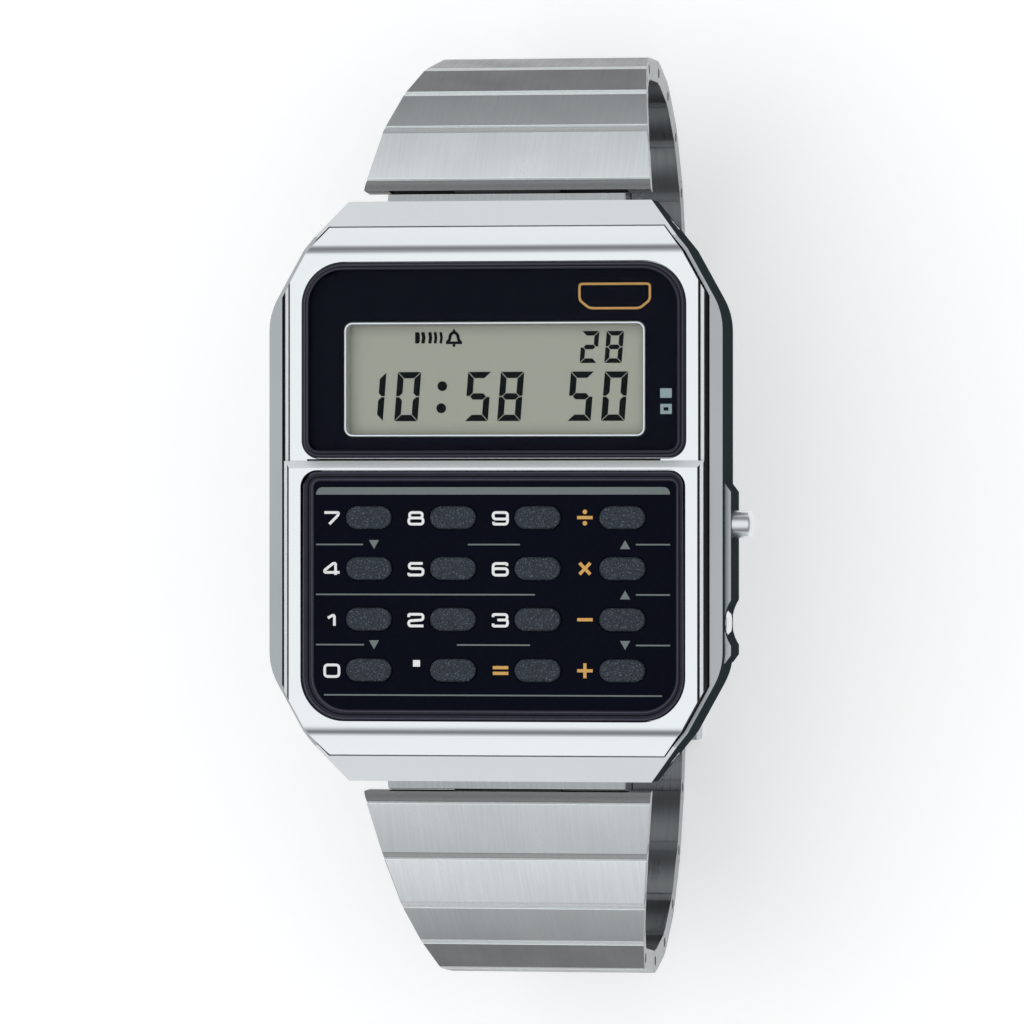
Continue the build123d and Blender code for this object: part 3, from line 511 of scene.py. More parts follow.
def softened_path(points, radius, closed=False, steps=5):
    """Points of a path with its corners rounded."""
    path = [Vector(p) for p in points]
    count = len(path)
    result = []
    for index, corner in enumerate(path):
        if not closed and index in (0, count - 1):
            result.append(corner)
            continue
        before = path[index - 1] - corner
        after = path[(index + 1) % count] - corner
        reach = min(radius, before.length / BEND_LIMIT, after.length / BEND_LIMIT)
        start = corner + before.normalized() * reach
        stop = corner + after.normalized() * reach
        for step in range(steps + 1):
            t = step / steps
            result.append(start * (1 - t) ** 2 + corner * 2 * t * (1 - t) + stop * t ** 2)
    return [p for n, p in enumerate(result) if not n or (p - result[n - 1]).length > CLOSE_POINTS]


def stroke_outlines(points, width, radius=0.0, closed=False):
    """Quads of a printed line of even width along a path."""
    path = softened_path(points, radius, closed) if radius else [Vector(p) for p in points]
    count = len(path)
    sides = []
    for index, point in enumerate(path):
        arrive = (point - path[index - 1]).normalized()
        leave = (path[(index + 1) % count] - point).normalized()
        if not closed and index == 0:
            arrive = leave
        if not closed and index == count - 1:
            leave = arrive
        normal = Vector((-(arrive + leave).y, (arrive + leave).x)).normalized()
        reach = width / 2 / max(normal.dot(Vector((-arrive.y, arrive.x))), MITRE_LIMIT)
        sides.append((point + normal * reach, point - normal * reach))
    quads = []
    for index in range(count if closed else count - 1):
        (a, b), (c, d) = sides[index], sides[(index + 1) % count]
        quads.append([tuple(b), tuple(d), tuple(c), tuple(a)])
    return quads


panel_black = plastic(
    "black_panel_print", (0.0022, 0.0030, 0.0085), 0.14, 2500, shade=0.25, rub=0.04, relief=0.4,
    shine=0.03,
)
window_chrome = metal("bright_window_frame", (0.80, 0.83, 0.84), 0.14, 3000, shade=0.03, rub=0.04)
lcd_film = plastic(
    "grey_green_lcd_film", (0.46, 0.455, 0.368), 0.5, 5000, shade=0.03, rub=0.06
)
segment_ink = plastic("dark_lcd_segments", (0.006, 0.008, 0.009), 0.45, 6000, rub=0.08, shine=0.05)
gold_print = plastic("gold_print", GOLD_PRINT, 0.42, 9000, shade=0.22, relief=3)
pale_print = plastic("pale_grey_print", PALE_PRINT, 0.42, 9000, shade=0.14, relief=3)
finished_node("display_mask", "panel_print", panel_black)
window_wall = finish_of(
    0.2, "satin_window_wall", (0.62, 0.64, 0.64), 0.4, 3000, shade=0.04, rub=0.06
)
finished_node(
    "window_frame", "window_metal", window_chrome, window_wall, edge_round=0.05,
    choose=lambda middle, normal: int(abs(normal.z) < STEEP),
)
plain_node("lcd_panel", lcd_film)

segments = []
for figure, left in TIME_FIGURES:
    width = NARROW_ONE if figure == "1" else TIME_SIZE[0]
    segments += segment_outlines(figure, left, TIME_LINE, width, TIME_SIZE[1])
for figure, left in DATE_FIGURES:
    segments += segment_outlines(figure, left, DATE_LINE, *DATE_SIZE, stroke=DATE_STROKE)
segments += [[ring(x, y, COLON_RADIUS)] for x, y in COLON_DOTS]
for x, thick in SOUND_WAVES:
    wave = [(x, WAVE_FOOT), (x + WAVE_BOW, WAVE_MIDDLE), (x, WAVE_TOP)]
    segments.append(stroke_outlines(wave, thick))
segments.append([[
    (-6.2, WAVE_FOOT), (-5.92, WAVE_FOOT), (-5.84, 11.15),
    (-5.84, 11.65), (-5.92, WAVE_TOP), (-6.2, WAVE_TOP),
]])
bell = [
    (-3.78, 11.05), (-3.6, 11.25), (-3.55, 11.62), (BELL_X, 11.84),
    (-2.99, 11.62), (-2.94, 11.25), (-2.76, 11.05),
]
segments.append(stroke_outlines(bell, BELL_STROKE, BELL_BEND))
segments.append(stroke_outlines([(-3.88, 11.02), (-2.66, 11.02)], 0.2))
segments += [[ring(BELL_X, 10.83, 0.12, 10)], [ring(BELL_X, 11.95, 0.09, 10)]]
printed("lcd_segments", segments, LCD_DEPTH, segment_ink)

badge = [(6.4, 15.3), (6.4, 14.1), (7.15, 13.5), (10.9, 13.5), (11.65, 14.1), (11.65, 15.3)]
printed(
    "gold_badge_outline", [stroke_outlines(badge, 0.17, radius=0.25, closed=True)], MASK_DEPTH,
    gold_print,
)
printed("pusher_mark_square", [[box_outline(12.42, 6.87, 13.28, 7.57)]], MASK_DEPTH, pale_print)
hollow_square = [(12.55, 5.8), (13.16, 5.8), (13.16, 6.3), (12.55, 6.3)]
printed(
    "pusher_mark_hollow_square", [stroke_outlines(hollow_square, 0.24, closed=True)], MASK_DEPTH,
    pale_print,
)

# The fold under the step between the bezel's halves is shown by a fine painted shadow line along
# its foot.
STEP_FOOT_PAINTED_SHADOW = [box_outline(-14.0, 2.245, 12.5, 2.38)]
printed("step_foot_painted_shadow", [STEP_FOOT_PAINTED_SHADOW], 0.5, painted_shade_black)


# Crystal: clear mineral glass with a ground bevel all round, cemented into the bezel. It is clear
# over the mask, and its bevel, blackened underneath, shows as a violet grey rim with fine lines.
RIM_TINT = (0.022, 0.021, 0.034)
GLASS_TINT = (0.97, 0.98, 0.99, 1)
GLASS_ROUGHNESS = 0.02
GLASS_INDEX = 1.12
BEVEL_TILT = (0.2, 0.95)
UNDERSIDE_TILT = -0.9
PANEL_HALF = 14.4
PANEL_FOLD = 17.9
DISPLAY_OPENING = (2.4, PANEL_FOLD - 0.9, (3.2, 1.35))
KEYPAD_OPENING = (0.85 - PANEL_FOLD, 1.55, (1.25, 3.3))
CRYSTAL_SLOPE = (0.45, 0.05, -1.0)
RIDGE_SINK = 0.03
CRYSTAL_RIDGE_RISE = 0.006


def clear_glass(name, index):
    """Thin coated glass: the eye and the lamps pass straight through, with a faint reflection."""
    finish = bpy.data.materials.new(name)
    finish.use_nodes = True
    tree = finish.node_tree
    new, join = tree.nodes.new, tree.links.new
    tree.nodes.remove(tree.nodes["Principled BSDF"])
    see = preset(new("ShaderNodeBsdfTransparent"), {"Color": GLASS_TINT})
    shine = preset(new("ShaderNodeBsdfGlossy"), {"Roughness": GLASS_ROUGHNESS})
    edge = preset(new("ShaderNodeFresnel"), {"IOR": index})
    both = new("ShaderNodeMixShader")
    join(edge.outputs["Fac"], both.inputs["Fac"])
    join(see.outputs["BSDF"], both.inputs[1])
    join(shine.outputs["BSDF"], both.inputs[2])
    join(both.outputs["Shader"], tree.nodes["Material Output"].inputs["Surface"])
    return finish


def crystal_finish(middle, normal):
    """Clear glass, violet grey bevel, painted shade on steep edges, underside that mirrors nothing.
    """
    if normal.z < UNDERSIDE_TILT:
        return 3
    if BEVEL_TILT[0] < normal.z < BEVEL_TILT[1]:
        return 1
    return 2 if normal.z < BEVEL_TILT[1] else 0


crystal_glass = clear_glass("coated_crystal_glass", GLASS_INDEX)
crystal_underside = clear_glass("crystal_underside_glass", 1.0)
rim_glass = plastic("violet_grey_rim", RIM_TINT, 0.12, 1500, rub=0.04, relief=0.8, shine=0.08)
rim_light = plastic("light_rim_line", (0.046, 0.045, 0.064), 0.2, 3000, shine=0.2, rub=0.05)
keypad_rim_light = plastic(
    "light_keypad_rim_line", (0.10, 0.10, 0.135), 0.2, 3000, shine=0.2, rub=0.05
)
rim_dark = plastic("dark_rim_line", (0.006, 0.006, 0.011), 0.3, 3000, shine=0.05, rub=0.05)
finished_node(
    "display_glass", "crystal", crystal_glass, rim_glass, painted_shade_black,
    crystal_underside, choose=crystal_finish,
)


def panel_outline(bottom, top, radii, inset, steps=10):
    """Outline of a panel opening with round corners, moved in by an inset."""
    points = []
    half = PANEL_HALF - inset
    for turn, (side, end, radius) in enumerate((
        (1, top - inset, radii[0]), (-1, top - inset, radii[0]),
        (-1, bottom + inset, radii[1]), (1, bottom + inset, radii[1]),
    )):
        bend = radius - inset
        centre = (side * (half - bend), end - bend if turn < 2 else end + bend)
        for step in range(steps + 1):
            angle = pi / 2 * (turn + step / steps)
            points.append((centre[0] + bend * cos(angle), centre[1] + bend * sin(angle)))
    return points


def rim_ridges(opening, slope, rise, *ridges):
    """Fine ridges that run round a panel on its sloped rim."""
    start_depth, start_inset, rate = slope
    for name, inset, width, finish in ridges:
        form = bmesh.new()
        loops = []
        for place, lift in ((-0.5, rise), (0.5, rise), (0.5, -RIDGE_SINK), (-0.5, -RIDGE_SINK)):
            away = inset + place * width
            height = level(start_depth + (away - start_inset) * rate) + lift
            outline = panel_outline(*opening, away)
            loops.append([form.verts.new((x, y, height)) for x, y in outline])
        for index, loop in enumerate(loops):
            other = loops[index - 1]
            for number in range(len(loop)):
                form.faces.new([loop[number - 1], loop[number], other[number], other[number - 1]])
        show_form(name, form, finish)


rim_ridges(
    DISPLAY_OPENING, CRYSTAL_SLOPE, CRYSTAL_RIDGE_RISE,
    ("crystal_rim_light_line", 0.23, 0.09, rim_light),
    ("crystal_rim_dark_line", 0.36, 0.07, rim_dark),
    ("crystal_rim_inner_line", 0.48, 0.05, rim_light),
)


# Keypad plate: a sunk black plate moulded in one with its raised rim, printed with figures, signs
# and thin rules, and pierced for the sixteen keys.

KEYPAD_DEPTH = 1.0
NUMERAL_WIDTH = 1.28
NUMERAL_HEIGHT = 1.06
NUMERAL_DROP = 0.06
NUMERAL_STROKE = 0.2
KEY_COLUMNS = (-9.36, -3.02, 3.32, 9.66)
KEY_ROWS = (-1.96, -5.733, -9.507, -13.28)
NUMERAL_OFFSET = 2.86
KEYPAD_SLOPE = (0.05, 0.1, 1.338)
KEYPAD_RIDGE_RISE = 0.008
RIM_TILT = (0.2, 0.999)
RIM_FOOT = 0.02
CORNER_SOFTNESS = 0.26
POINT_MARK = (-6.1, -13.02, -5.57, -12.53)
NUMERAL_STROKES = {
    "0": [([(0, 0), (1, 0), (1, 1), (0, 1)], True)],
    "1": [([(0.22, 0.66), (0.68, 1), (0.68, 0)], False)],
    "2": [([(0.0, 0.76), (0.0, 1), (1, 1), (1, 0.52), (0.0, 0.44), (0.0, 0), (1.02, 0)], False)],
    "3": [
        ([(0.0, 0.78), (0.0, 1), (0.97, 1), (0.97, 0.53), (0.3, 0.53)], False),
        ([(0.7, 0.53), (1, 0.53), (1, 0), (0, 0), (0, 0.22)], False),
    ],
    "4": [
        ([(0.76, 0), (0.76, 1), (0.6, 1), (0.0, 0.42), (0.0, 0.22), (0.66, 0.22)], False),
        ([(0.6, 0.22), (1.04, 0.22)], False),
    ],
    "5": [([(0.97, 1), (0.04, 1), (0.04, 0.56), (1, 0.56), (1, 0), (0, 0), (0, 0.18)], False)],
    "6": [
        ([(0, 0), (1, 0), (1, 0.56), (0, 0.56)], True),
        ([(0.96, 0.8), (0.96, 1), (0, 1), (0, 0.4)], False),
    ],
    "7": [([(-0.02, 1), (1.0, 1), (0.9, 0.72), (0.32, 0)], False)],
    "8": [
        ([(0.06, 0.53), (0.94, 0.53), (0.94, 1), (0.06, 1)], True),
        ([(0, 0), (1, 0), (1, 0.53), (0, 0.53)], True),
    ],
    "9": [
        ([(0, 0.44), (1, 0.44), (1, 1), (0, 1)], True),
        ([(0.04, 0.2), (0.04, 0), (1, 0), (1, 0.6)], False),
    ],
}
KEY_LABELS = (("7", "8", "9"), ("4", "5", "6"), ("1", "2", "3"), ("0",))

white_print = plastic("white_print", (0.84, 0.86, 0.86), 0.45, 9000, shade=0.06, relief=3)
rule_print = plastic("grey_rule_print", (0.145, 0.175, 0.175), 0.45, 9000, shade=0.15, relief=3)
keypad_rim = plastic(
    "violet_grey_keypad_rim", (0.040, 0.039, 0.054), 0.2, 1500, rub=0.06, shine=0.12
)


def keypad_finish(middle, normal):
    """Black print on the plate, and a violet grey slope round it."""
    return int(middle.z > level(KEYPAD_DEPTH - RIM_FOOT) and RIM_TILT[0] < normal.z < RIM_TILT[1])


finished_node(
    "keypad_plate", "panel_print", panel_black, keypad_rim, edge_round=0.03,
    choose=keypad_finish,
)
rim_ridges(
    KEYPAD_OPENING, KEYPAD_SLOPE, KEYPAD_RIDGE_RISE,
    ("keypad_rim_outer_line", 0.2, 0.06, keypad_rim_light),
    ("keypad_rim_dark_line", 0.48, 0.08, rim_dark),
    ("keypad_rim_inner_line", 0.7, 0.06, keypad_rim_light),
)

numerals = []
wide = NUMERAL_WIDTH - NUMERAL_STROKE
tall = NUMERAL_HEIGHT - NUMERAL_STROKE
for row, labels in zip(KEY_ROWS, KEY_LABELS):
    for column, label in zip(KEY_COLUMNS, labels):
        left = column - NUMERAL_OFFSET - wide / 2
        bottom = row - NUMERAL_DROP - tall / 2
        for points, closed in NUMERAL_STROKES[label]:
            placed = [(left + x * wide, bottom + y * tall) for x, y in points]
            numerals.append(stroke_outlines(placed, NUMERAL_STROKE, CORNER_SOFTNESS, closed))
numerals.append([box_outline(*POINT_MARK)])
printed("white_numerals", numerals, KEYPAD_DEPTH, white_print)

SIGN_X = 6.79
SIGN_REACH = 0.58
SIGN_STROKE = 0.24
DOT_RISE = 0.42
DOT_RADIUS = 0.17
PLUS_RISE = 0.55
CROSS_REACH, CROSS_RISE = 0.4, 0.42
EQUALS_LEFT, EQUALS_RIGHT, EQUALS_RISE = -0.1, 1.06, 0.21
DIVIDE_ROW, MULTIPLY_ROW, MINUS_ROW, PLUS_ROW = KEY_ROWS
signs = [[ring(SIGN_X, DIVIDE_ROW + rise, DOT_RADIUS, 14)] for rise in (DOT_RISE, -DOT_RISE)]
bars = [
    ((SIGN_X - SIGN_REACH, y), (SIGN_X + SIGN_REACH, y)) for y in (DIVIDE_ROW, MINUS_ROW, PLUS_ROW)
]
bars.append(((SIGN_X, PLUS_ROW - PLUS_RISE), (SIGN_X, PLUS_ROW + PLUS_RISE)))
for rise in (CROSS_RISE, -CROSS_RISE):
    bars.append((
        (SIGN_X - CROSS_REACH, MULTIPLY_ROW - rise), (SIGN_X + CROSS_REACH, MULTIPLY_ROW + rise)
    ))
for y in (PLUS_ROW + EQUALS_RISE, PLUS_ROW - EQUALS_RISE):
    bars.append(((EQUALS_LEFT, y), (EQUALS_RIGHT, y)))
signs += [stroke_outlines(bar, SIGN_STROKE) for bar in bars]
printed("gold_signs", signs, KEYPAD_DEPTH, gold_print)

RULE_WIDTH = 0.11
RULE_LEFT, RULE_RIGHT = -13.42, 13.14
LAST_RULE = (10.6, RULE_RIGHT)
RULE_ROWS = (
    (-3.96, ((RULE_LEFT, -9.87), (-1.97, 1.93), LAST_RULE)),
    (-7.67, ((RULE_LEFT, 3.06), LAST_RULE)),
    (-11.4, ((RULE_LEFT, -9.79), (-2.79, 2.68), LAST_RULE)),
    (-15.13, ((-12.81, 12.54),)),
)
TRIANGLES = (
    (-9.04, -3.96, -1), (9.79, -3.96, 1), (9.79, -7.67, 1), (-9.04, -11.4, -1), (9.79, -11.4, -1),
)
TRIANGLE_HALF = (0.38, 0.33)
STRIP_FOOT = -0.26
STRIP_BEND = (0.47, 0.55)
rules = []
for y, spans in RULE_ROWS:
    for start, stop in spans:
        rules.append(stroke_outlines([(start, y), (stop, y)], RULE_WIDTH))
for x, y, up in TRIANGLES:
    half, tip = TRIANGLE_HALF[0], TRIANGLE_HALF[1] * up
    rules.append([[(x - half, y - tip), (x + half, y - tip), (x, y + tip)][::up]])
strip = [(RULE_LEFT, STRIP_FOOT), (RULE_RIGHT, STRIP_FOOT)]
for end, sense, steps in ((RULE_RIGHT, 1, range(1, 9)), (RULE_LEFT, -1, range(8, 0, -1))):
    for turn in [pi * n / 16 for n in steps]:
        strip.append((
            end - sense * STRIP_BEND[0] * (1 - cos(turn)), STRIP_FOOT + STRIP_BEND[1] * sin(turn)
        ))
rules.append([strip])
printed("grey_rules", rules, KEYPAD_DEPTH, rule_print)


# Keys: sixteen moulded rubber keys with a fine sandy face, standing through the keypad plate on
# the domes of one contact sheet. Each moves on its own.

SPECK_GRAIN = 8200
SPECKS = ((0.56, 0.66, 0.0), (0.55, 0.68, 5.0))


def add_specks(finish, light, dark):
    """Scatters light and dark specks over a moulded finish."""
    tree = finish.node_tree
    colour = tree.nodes["Principled BSDF"].inputs["Base Color"]
    spot = next(n for n in tree.nodes if n.type == "TEX_COORD").outputs["Object"]
    for speck, (start, stop, shift) in zip((light, dark), SPECKS):
        grain = noise(tree, spot, W=shift, Scale=SPECK_GRAIN, Detail=1.0)
        cover(tree, "RGBA", passing(tree, grain, start, stop, "LINEAR"), colour, (*speck, 1))


key_rubber = plastic(
    "sandy_key_rubber", (0.026, 0.034, 0.044), 0.45, 6500, shade=0.4, rub=0.14, relief=60,
    shine=0.2,
)
add_specks(key_rubber, (0.085, 0.105, 0.13), (0.010, 0.014, 0.020))
sheet_rubber = plastic("contact_sheet_rubber", (0.05, 0.05, 0.055), 0.6, 3000, relief=8)
for node in nodes:
    if node.startswith("key_") and node != "key_contact_sheet":
        plain_node(node, key_rubber)
plain_node("key_contact_sheet", sheet_rubber)


# Pushers: two turned steel buttons on the right side, one of them sunk in the guard. Each has a
# stem that slides in a bore of the case wall, where a small clip keeps it.

pusher_steel = metal("turned_pusher_steel", (0.78, 0.80, 0.81), 0.2, (300, 9000, 9000), rub=0.07)
for node in ("main_pusher", "recessed_pusher"):
    finished_node(node, "fitting_steel", pusher_steel, body=node, edge_round=0.08)


# Band links: pressed and machined steel links, each with a rounded, bead blasted lip over the joint
# and a brushed flat face. A middle knuckle of one link turns on the tight pin of the next.

LINK_PITCH = 5.4
END_LINK_PITCH = 3.1
LINK_FACE = 0.95
LINK_BACK = 0.75
TONGUE_RADIUS = 0.85
SLOT_RADIUS = 0.875
LIP_RADIUS = 0.91
FAR_SEAT = 0.97
LIP_START = 0.41
LIP_LAP = 38
TONGUE_ROOT = 44
END_LINK_HALF = 9.05
KNUCKLE_HALF = 4.0
KNUCKLE_SLOT_HALF = 4.1
PIN_RADIUS = 0.4
PIN_SINK = 0.1
LINK_EDGE_ROUND = 0.1
BAND_WIDTH = 21.6
BAND_NARROW = 16.0
BAND_TAPER = 1.45
END_LINK_ANGLE = 33
UPPER_ANGLES = (41, 58, 67, 78, 90, 106, 124, 142, 160)
LOWER_ANGLES = (37, 45, 56.5, 65, 84, 102, 121, 139, 156, 168)
BAR_DISTANCE = 19.9
BAR_DEPTH = 6.2
CLASP_TONGUE_HALF = 7.7


def round_pin(radius, start, stop, pin=0.0, steps=12):
    """Points along a link and out of it on an arc about a pin, from one angle to another."""
    angles = [start + (stop - start) * n / steps for n in range(steps + 1)]
    return [(pin - radius * sin(radians(a)), radius * cos(radians(a))) for a in angles]


def link_form(tongue_half, slot_half=KNUCKLE_SLOT_HALF, trimmed=False):
    """The link all links start from: side points carry edge_share, and take their place later."""
    lip_foot = -degrees(asin(LIP_START / LIP_RADIUS))
    back_lip, back_slot, back_tongue, back_far = (
        180 - degrees(acos(LINK_BACK / radius))
        for radius in (LIP_RADIUS, SLOT_RADIUS, TONGUE_RADIUS, FAR_SEAT)
    )
    far_edge = degrees(acos(LINK_FACE / FAR_SEAT))
    outer = round_pin(LIP_RADIUS, LIP_LAP, lip_foot, steps=8) + [(LIP_START, LINK_FACE)]
    outer += round_pin(FAR_SEAT, far_edge, TONGUE_ROOT, LINK_PITCH, 6)
    hollow = round_pin(FAR_SEAT, TONGUE_ROOT, back_far, LINK_PITCH)
    tongue = hollow[:1] + round_pin(TONGUE_RADIUS, TONGUE_ROOT, back_tongue - 360, LINK_PITCH, 26)
    tongue += hollow[-1:]
    slot = round_pin(SLOT_RADIUS, -back_slot, LIP_LAP, steps=18) + outer[:1]
    if trimmed:
        barrel = [slot[0], outer[0]]
    else:
        round_end = round_pin(LIP_RADIUS, -back_lip, LIP_LAP - 360, steps=24)[:-1]
        barrel = [(along, max(out, -TONGUE_RADIUS)) for along, out in round_end] + outer[:1]
        slot = barrel[:1] + slot
    form = bmesh.new()
    share = form.verts.layers.float.new("edge_share")
    made = {}

    def corner(station, point, sink=0.0):
        """The vertex at a station across the link; the outermost stations are the tapered sides."""
        side = (station > 2) - (station < -2)
        across = side and -side * sink
        if not side:
            across = {1: tongue_half, 2: slot_half}[abs(station)] * (1 if station > 0 else -1)
        key = (station, round(point[0], 5), round(point[1], 5), sink)
        if key not in made:
            made[key] = form.verts.new((across, point[0], point[1]))
            made[key][share] = side
        return made[key]

    def strip(points, stations):
        """Walls along a run of the outline, between stations across the link."""
        for near, far in zip(points, points[1:]):
            for left, right in zip(stations, stations[1:]):
                form.faces.new(
                    [corner(left, near), corner(right, near), corner(right, far), corner(left, far)]
                )

    across_all = (-3, -2, -1, 1, 2, 3) if tongue_half < slot_half else (-3, -1, -2, 2, 1, 3)
    strip(outer, across_all)
    strip([hollow[-1], barrel[0]], across_all)
    for station, beside, between in ((1, hollow, tongue), (2, barrel, slot)):
        left, right = across_all.index(-station), across_all.index(station)
        strip(beside, across_all[:left + 1])
        strip(beside, across_all[right:])
        strip(between, across_all[left:right + 1])
    for sense in (-1, 1):
        form.faces.new([corner(sense, p) for p in tongue[:-1] + hollow[:0:-1]])
        form.faces.new([corner(2 * sense, p) for p in barrel[:-1] + slot[:0:-1]])
        rim = outer + hollow[1:] + barrel[:-1]
        loops = [rim] if trimmed else [rim, round_pin(PIN_RADIUS, 0, 360, steps=16)[:-1]]
        edges = []
        for loop in loops:
            for index, point in enumerate(loop):
                ends = (corner(3 * sense, loop[index - 1]), corner(3 * sense, point))
                edges.append(form.edges.get(ends) or form.edges.new(ends))
        bmesh.ops.triangle_fill(form, use_beauty=True, edges=edges)
        for pin in loops[1:]:
            for index, point in enumerate(pin):
                last = pin[index - 1]
                form.faces.new([
                    corner(3 * sense, last), corner(3 * sense, point),
                    corner(3 * sense, point, PIN_SINK), corner(3 * sense, last, PIN_SINK),
                ])
            form.faces.new([corner(3 * sense, p, PIN_SINK) for p in pin])
    bmesh.ops.recalc_face_normals(form, faces=form.faces)
    return mesh_of(form, "link_form")


def band_link_tree():
    """Geometry nodes that give the link form its taper, its grain and its place in the band."""
    tree = bpy.data.node_groups.new("band_link", "GeometryNodeTree")
    sockets = tree.interface
    sockets.new_socket("Link form", in_out="INPUT", socket_type="NodeSocketGeometry")
    for label in ("Near width", "Far width", "Pitch", "Grain shift", "Painted lip light"):
        sockets.new_socket(label, in_out="INPUT", socket_type="NodeSocketFloat")
    for label in ("Turn", "Pin place"):
        sockets.new_socket(label, in_out="INPUT", socket_type="NodeSocketVector")
    sockets.new_socket("Finish", in_out="INPUT", socket_type="NodeSocketMaterial")
    sockets.new_socket("Link", in_out="OUTPUT", socket_type="NodeSocketGeometry")
    new, join = tree.nodes.new, tree.links.new
    given, made = new("NodeGroupInput"), new("NodeGroupOutput")
    sum_of = partial(arithmetic, tree)

    def stored(geometry, kind, name, value):
        """Geometry that carries a value under a name."""
        store = preset(new("GeometryNodeStoreNamedAttribute"), {"Name": name})
        store.data_type = kind
        join(geometry, store.inputs["Geometry"])
        join(value, store.inputs["Value"])
        return store.outputs["Geometry"]

    def sideways(value):
        """A value as a step across the band."""
        step = new("ShaderNodeCombineXYZ")
        join(value, step.inputs["X"])
        return step.outputs["Vector"]

    place = new("GeometryNodeInputPosition").outputs["Position"]
    parts = new("ShaderNodeSeparateXYZ")
    join(place, parts.inputs["Vector"])
    share = preset(new("GeometryNodeInputNamedAttribute"), {"Name": "edge_share"})
    near, far = given.outputs["Near width"], given.outputs["Far width"]
    growth = sum_of("DIVIDE", sum_of("SUBTRACT", near, far), given.outputs["Pitch"])
    width = sum_of("SUBTRACT", near, sum_of("MULTIPLY", growth, parts.outputs["Y"]))
    reach = sum_of("MULTIPLY", sum_of("MULTIPLY", width, 0.5), share.outputs["Attribute"])
    taper = new("GeometryNodeSetPosition")
    join(given.outputs["Link form"], taper.inputs["Geometry"])
    join(sideways(reach), taper.inputs["Offset"])
    shifted = new("ShaderNodeVectorMath")
    join(place, shifted.inputs[0])
    join(sideways(given.outputs["Grain shift"]), shifted.inputs[1])
    grained = stored(
        taper.outputs["Geometry"], "FLOAT_VECTOR", "link_place", shifted.outputs["Vector"]
    )
    toned = stored(grained, "FLOAT", "painted_lip_light", given.outputs["Painted lip light"])
    turn = preset(new("GeometryNodeTransform"), {"Scale": (MM, MM, MM)})
    join(toned, turn.inputs["Geometry"])
    join(given.outputs["Turn"], turn.inputs["Rotation"])
    join(given.outputs["Pin place"], turn.inputs["Translation"])
    real = new("GeometryNodeRealizeInstances")
    join(turn.outputs["Geometry"], real.inputs["Geometry"])
    coloured = new("GeometryNodeSetMaterial")
    join(real.outputs["Geometry"], coloured.inputs["Geometry"])
    join(given.outputs["Finish"], coloured.inputs["Material"])
    join(coloured.outputs["Geometry"], made.inputs["Link"])
    return tree


BACK_LEVEL = -0.72
BLAST_GRAIN = 14.0
# Painted sheen on the link faces by the angle they are seen at, and a painted falloff along each
# link.
FACE_PAINTED_SHEEN = (
    (0.0, 1.15), (0.22, 1.15), (0.35, 1.12), (0.47, 0.56),
    (0.57, 0.18), (0.66, 0.09), (0.80, 0.26), (1.0, 0.3),
)
FACE_PAINTED_FALLOFF = (1.1, 0.2)
LEDGE_PAINTED_HIGHLIGHT = (0.86, 0.90, 0.90, 1)
JOINT_PAINTED_SHADE_AND_GRIME = (0.03, 0.03, 0.03, 1)
LIP_METAL = 0.45
LIP_TINT = (0.97, 1.0, 1.01)
LIP_FROST = (0.62, 0.76)
LIP_ROUGHNESS = (0.34, 0.22)
LIP_RELIEF = 9.0
SIDE_PAINTED_SHADE = 0.50
UNDERSIDE_PAINTED_SHADE = 0.22
UNDERSIDE_PAINTED_RIPPLE = 0.18
NEAR_JOINT = (LIP_RADIUS - 0.005, LIP_RADIUS - 0.02)
FAR_JOINT = (FAR_SEAT + 0.03, FAR_SEAT + 0.01)
BELOW_FACE = (LINK_FACE - 0.01, LINK_FACE - 0.05)
ABOVE_BACK = (BACK_LEVEL - 0.02, BACK_LEVEL)
OFF_THE_SIDES = (0.995, 0.985)
LIP_STOP = (LIP_START + 0.08, LIP_START + 0.05)
LIP_ABOVE = (-0.3, 0.0)
LEDGE_START = (LIP_START - 0.06, LIP_START - 0.03)
LEDGE_STOP = (LIP_START + 0.10, LIP_START + 0.07)
LEDGE_ABOVE = (LINK_FACE - 0.16, LINK_FACE - 0.13)


def tone_ramp(tree, value, levels, tint=(1, 1, 1)):
    """A smooth run of tones over a value."""
    ramp = tree.nodes.new("ShaderNodeValToRGB")
    stops = ramp.color_ramp.elements
    ramp.color_ramp.interpolation = "B_SPLINE"
    for number, (place, tone) in enumerate(levels):
        stop = stops[number] if number < 2 else stops.new(place)
        stop.position = place
        stop.color = (*[tone * share for share in tint], 1)
    tree.links.new(value, ramp.inputs["Fac"])
    return ramp.outputs["Color"]


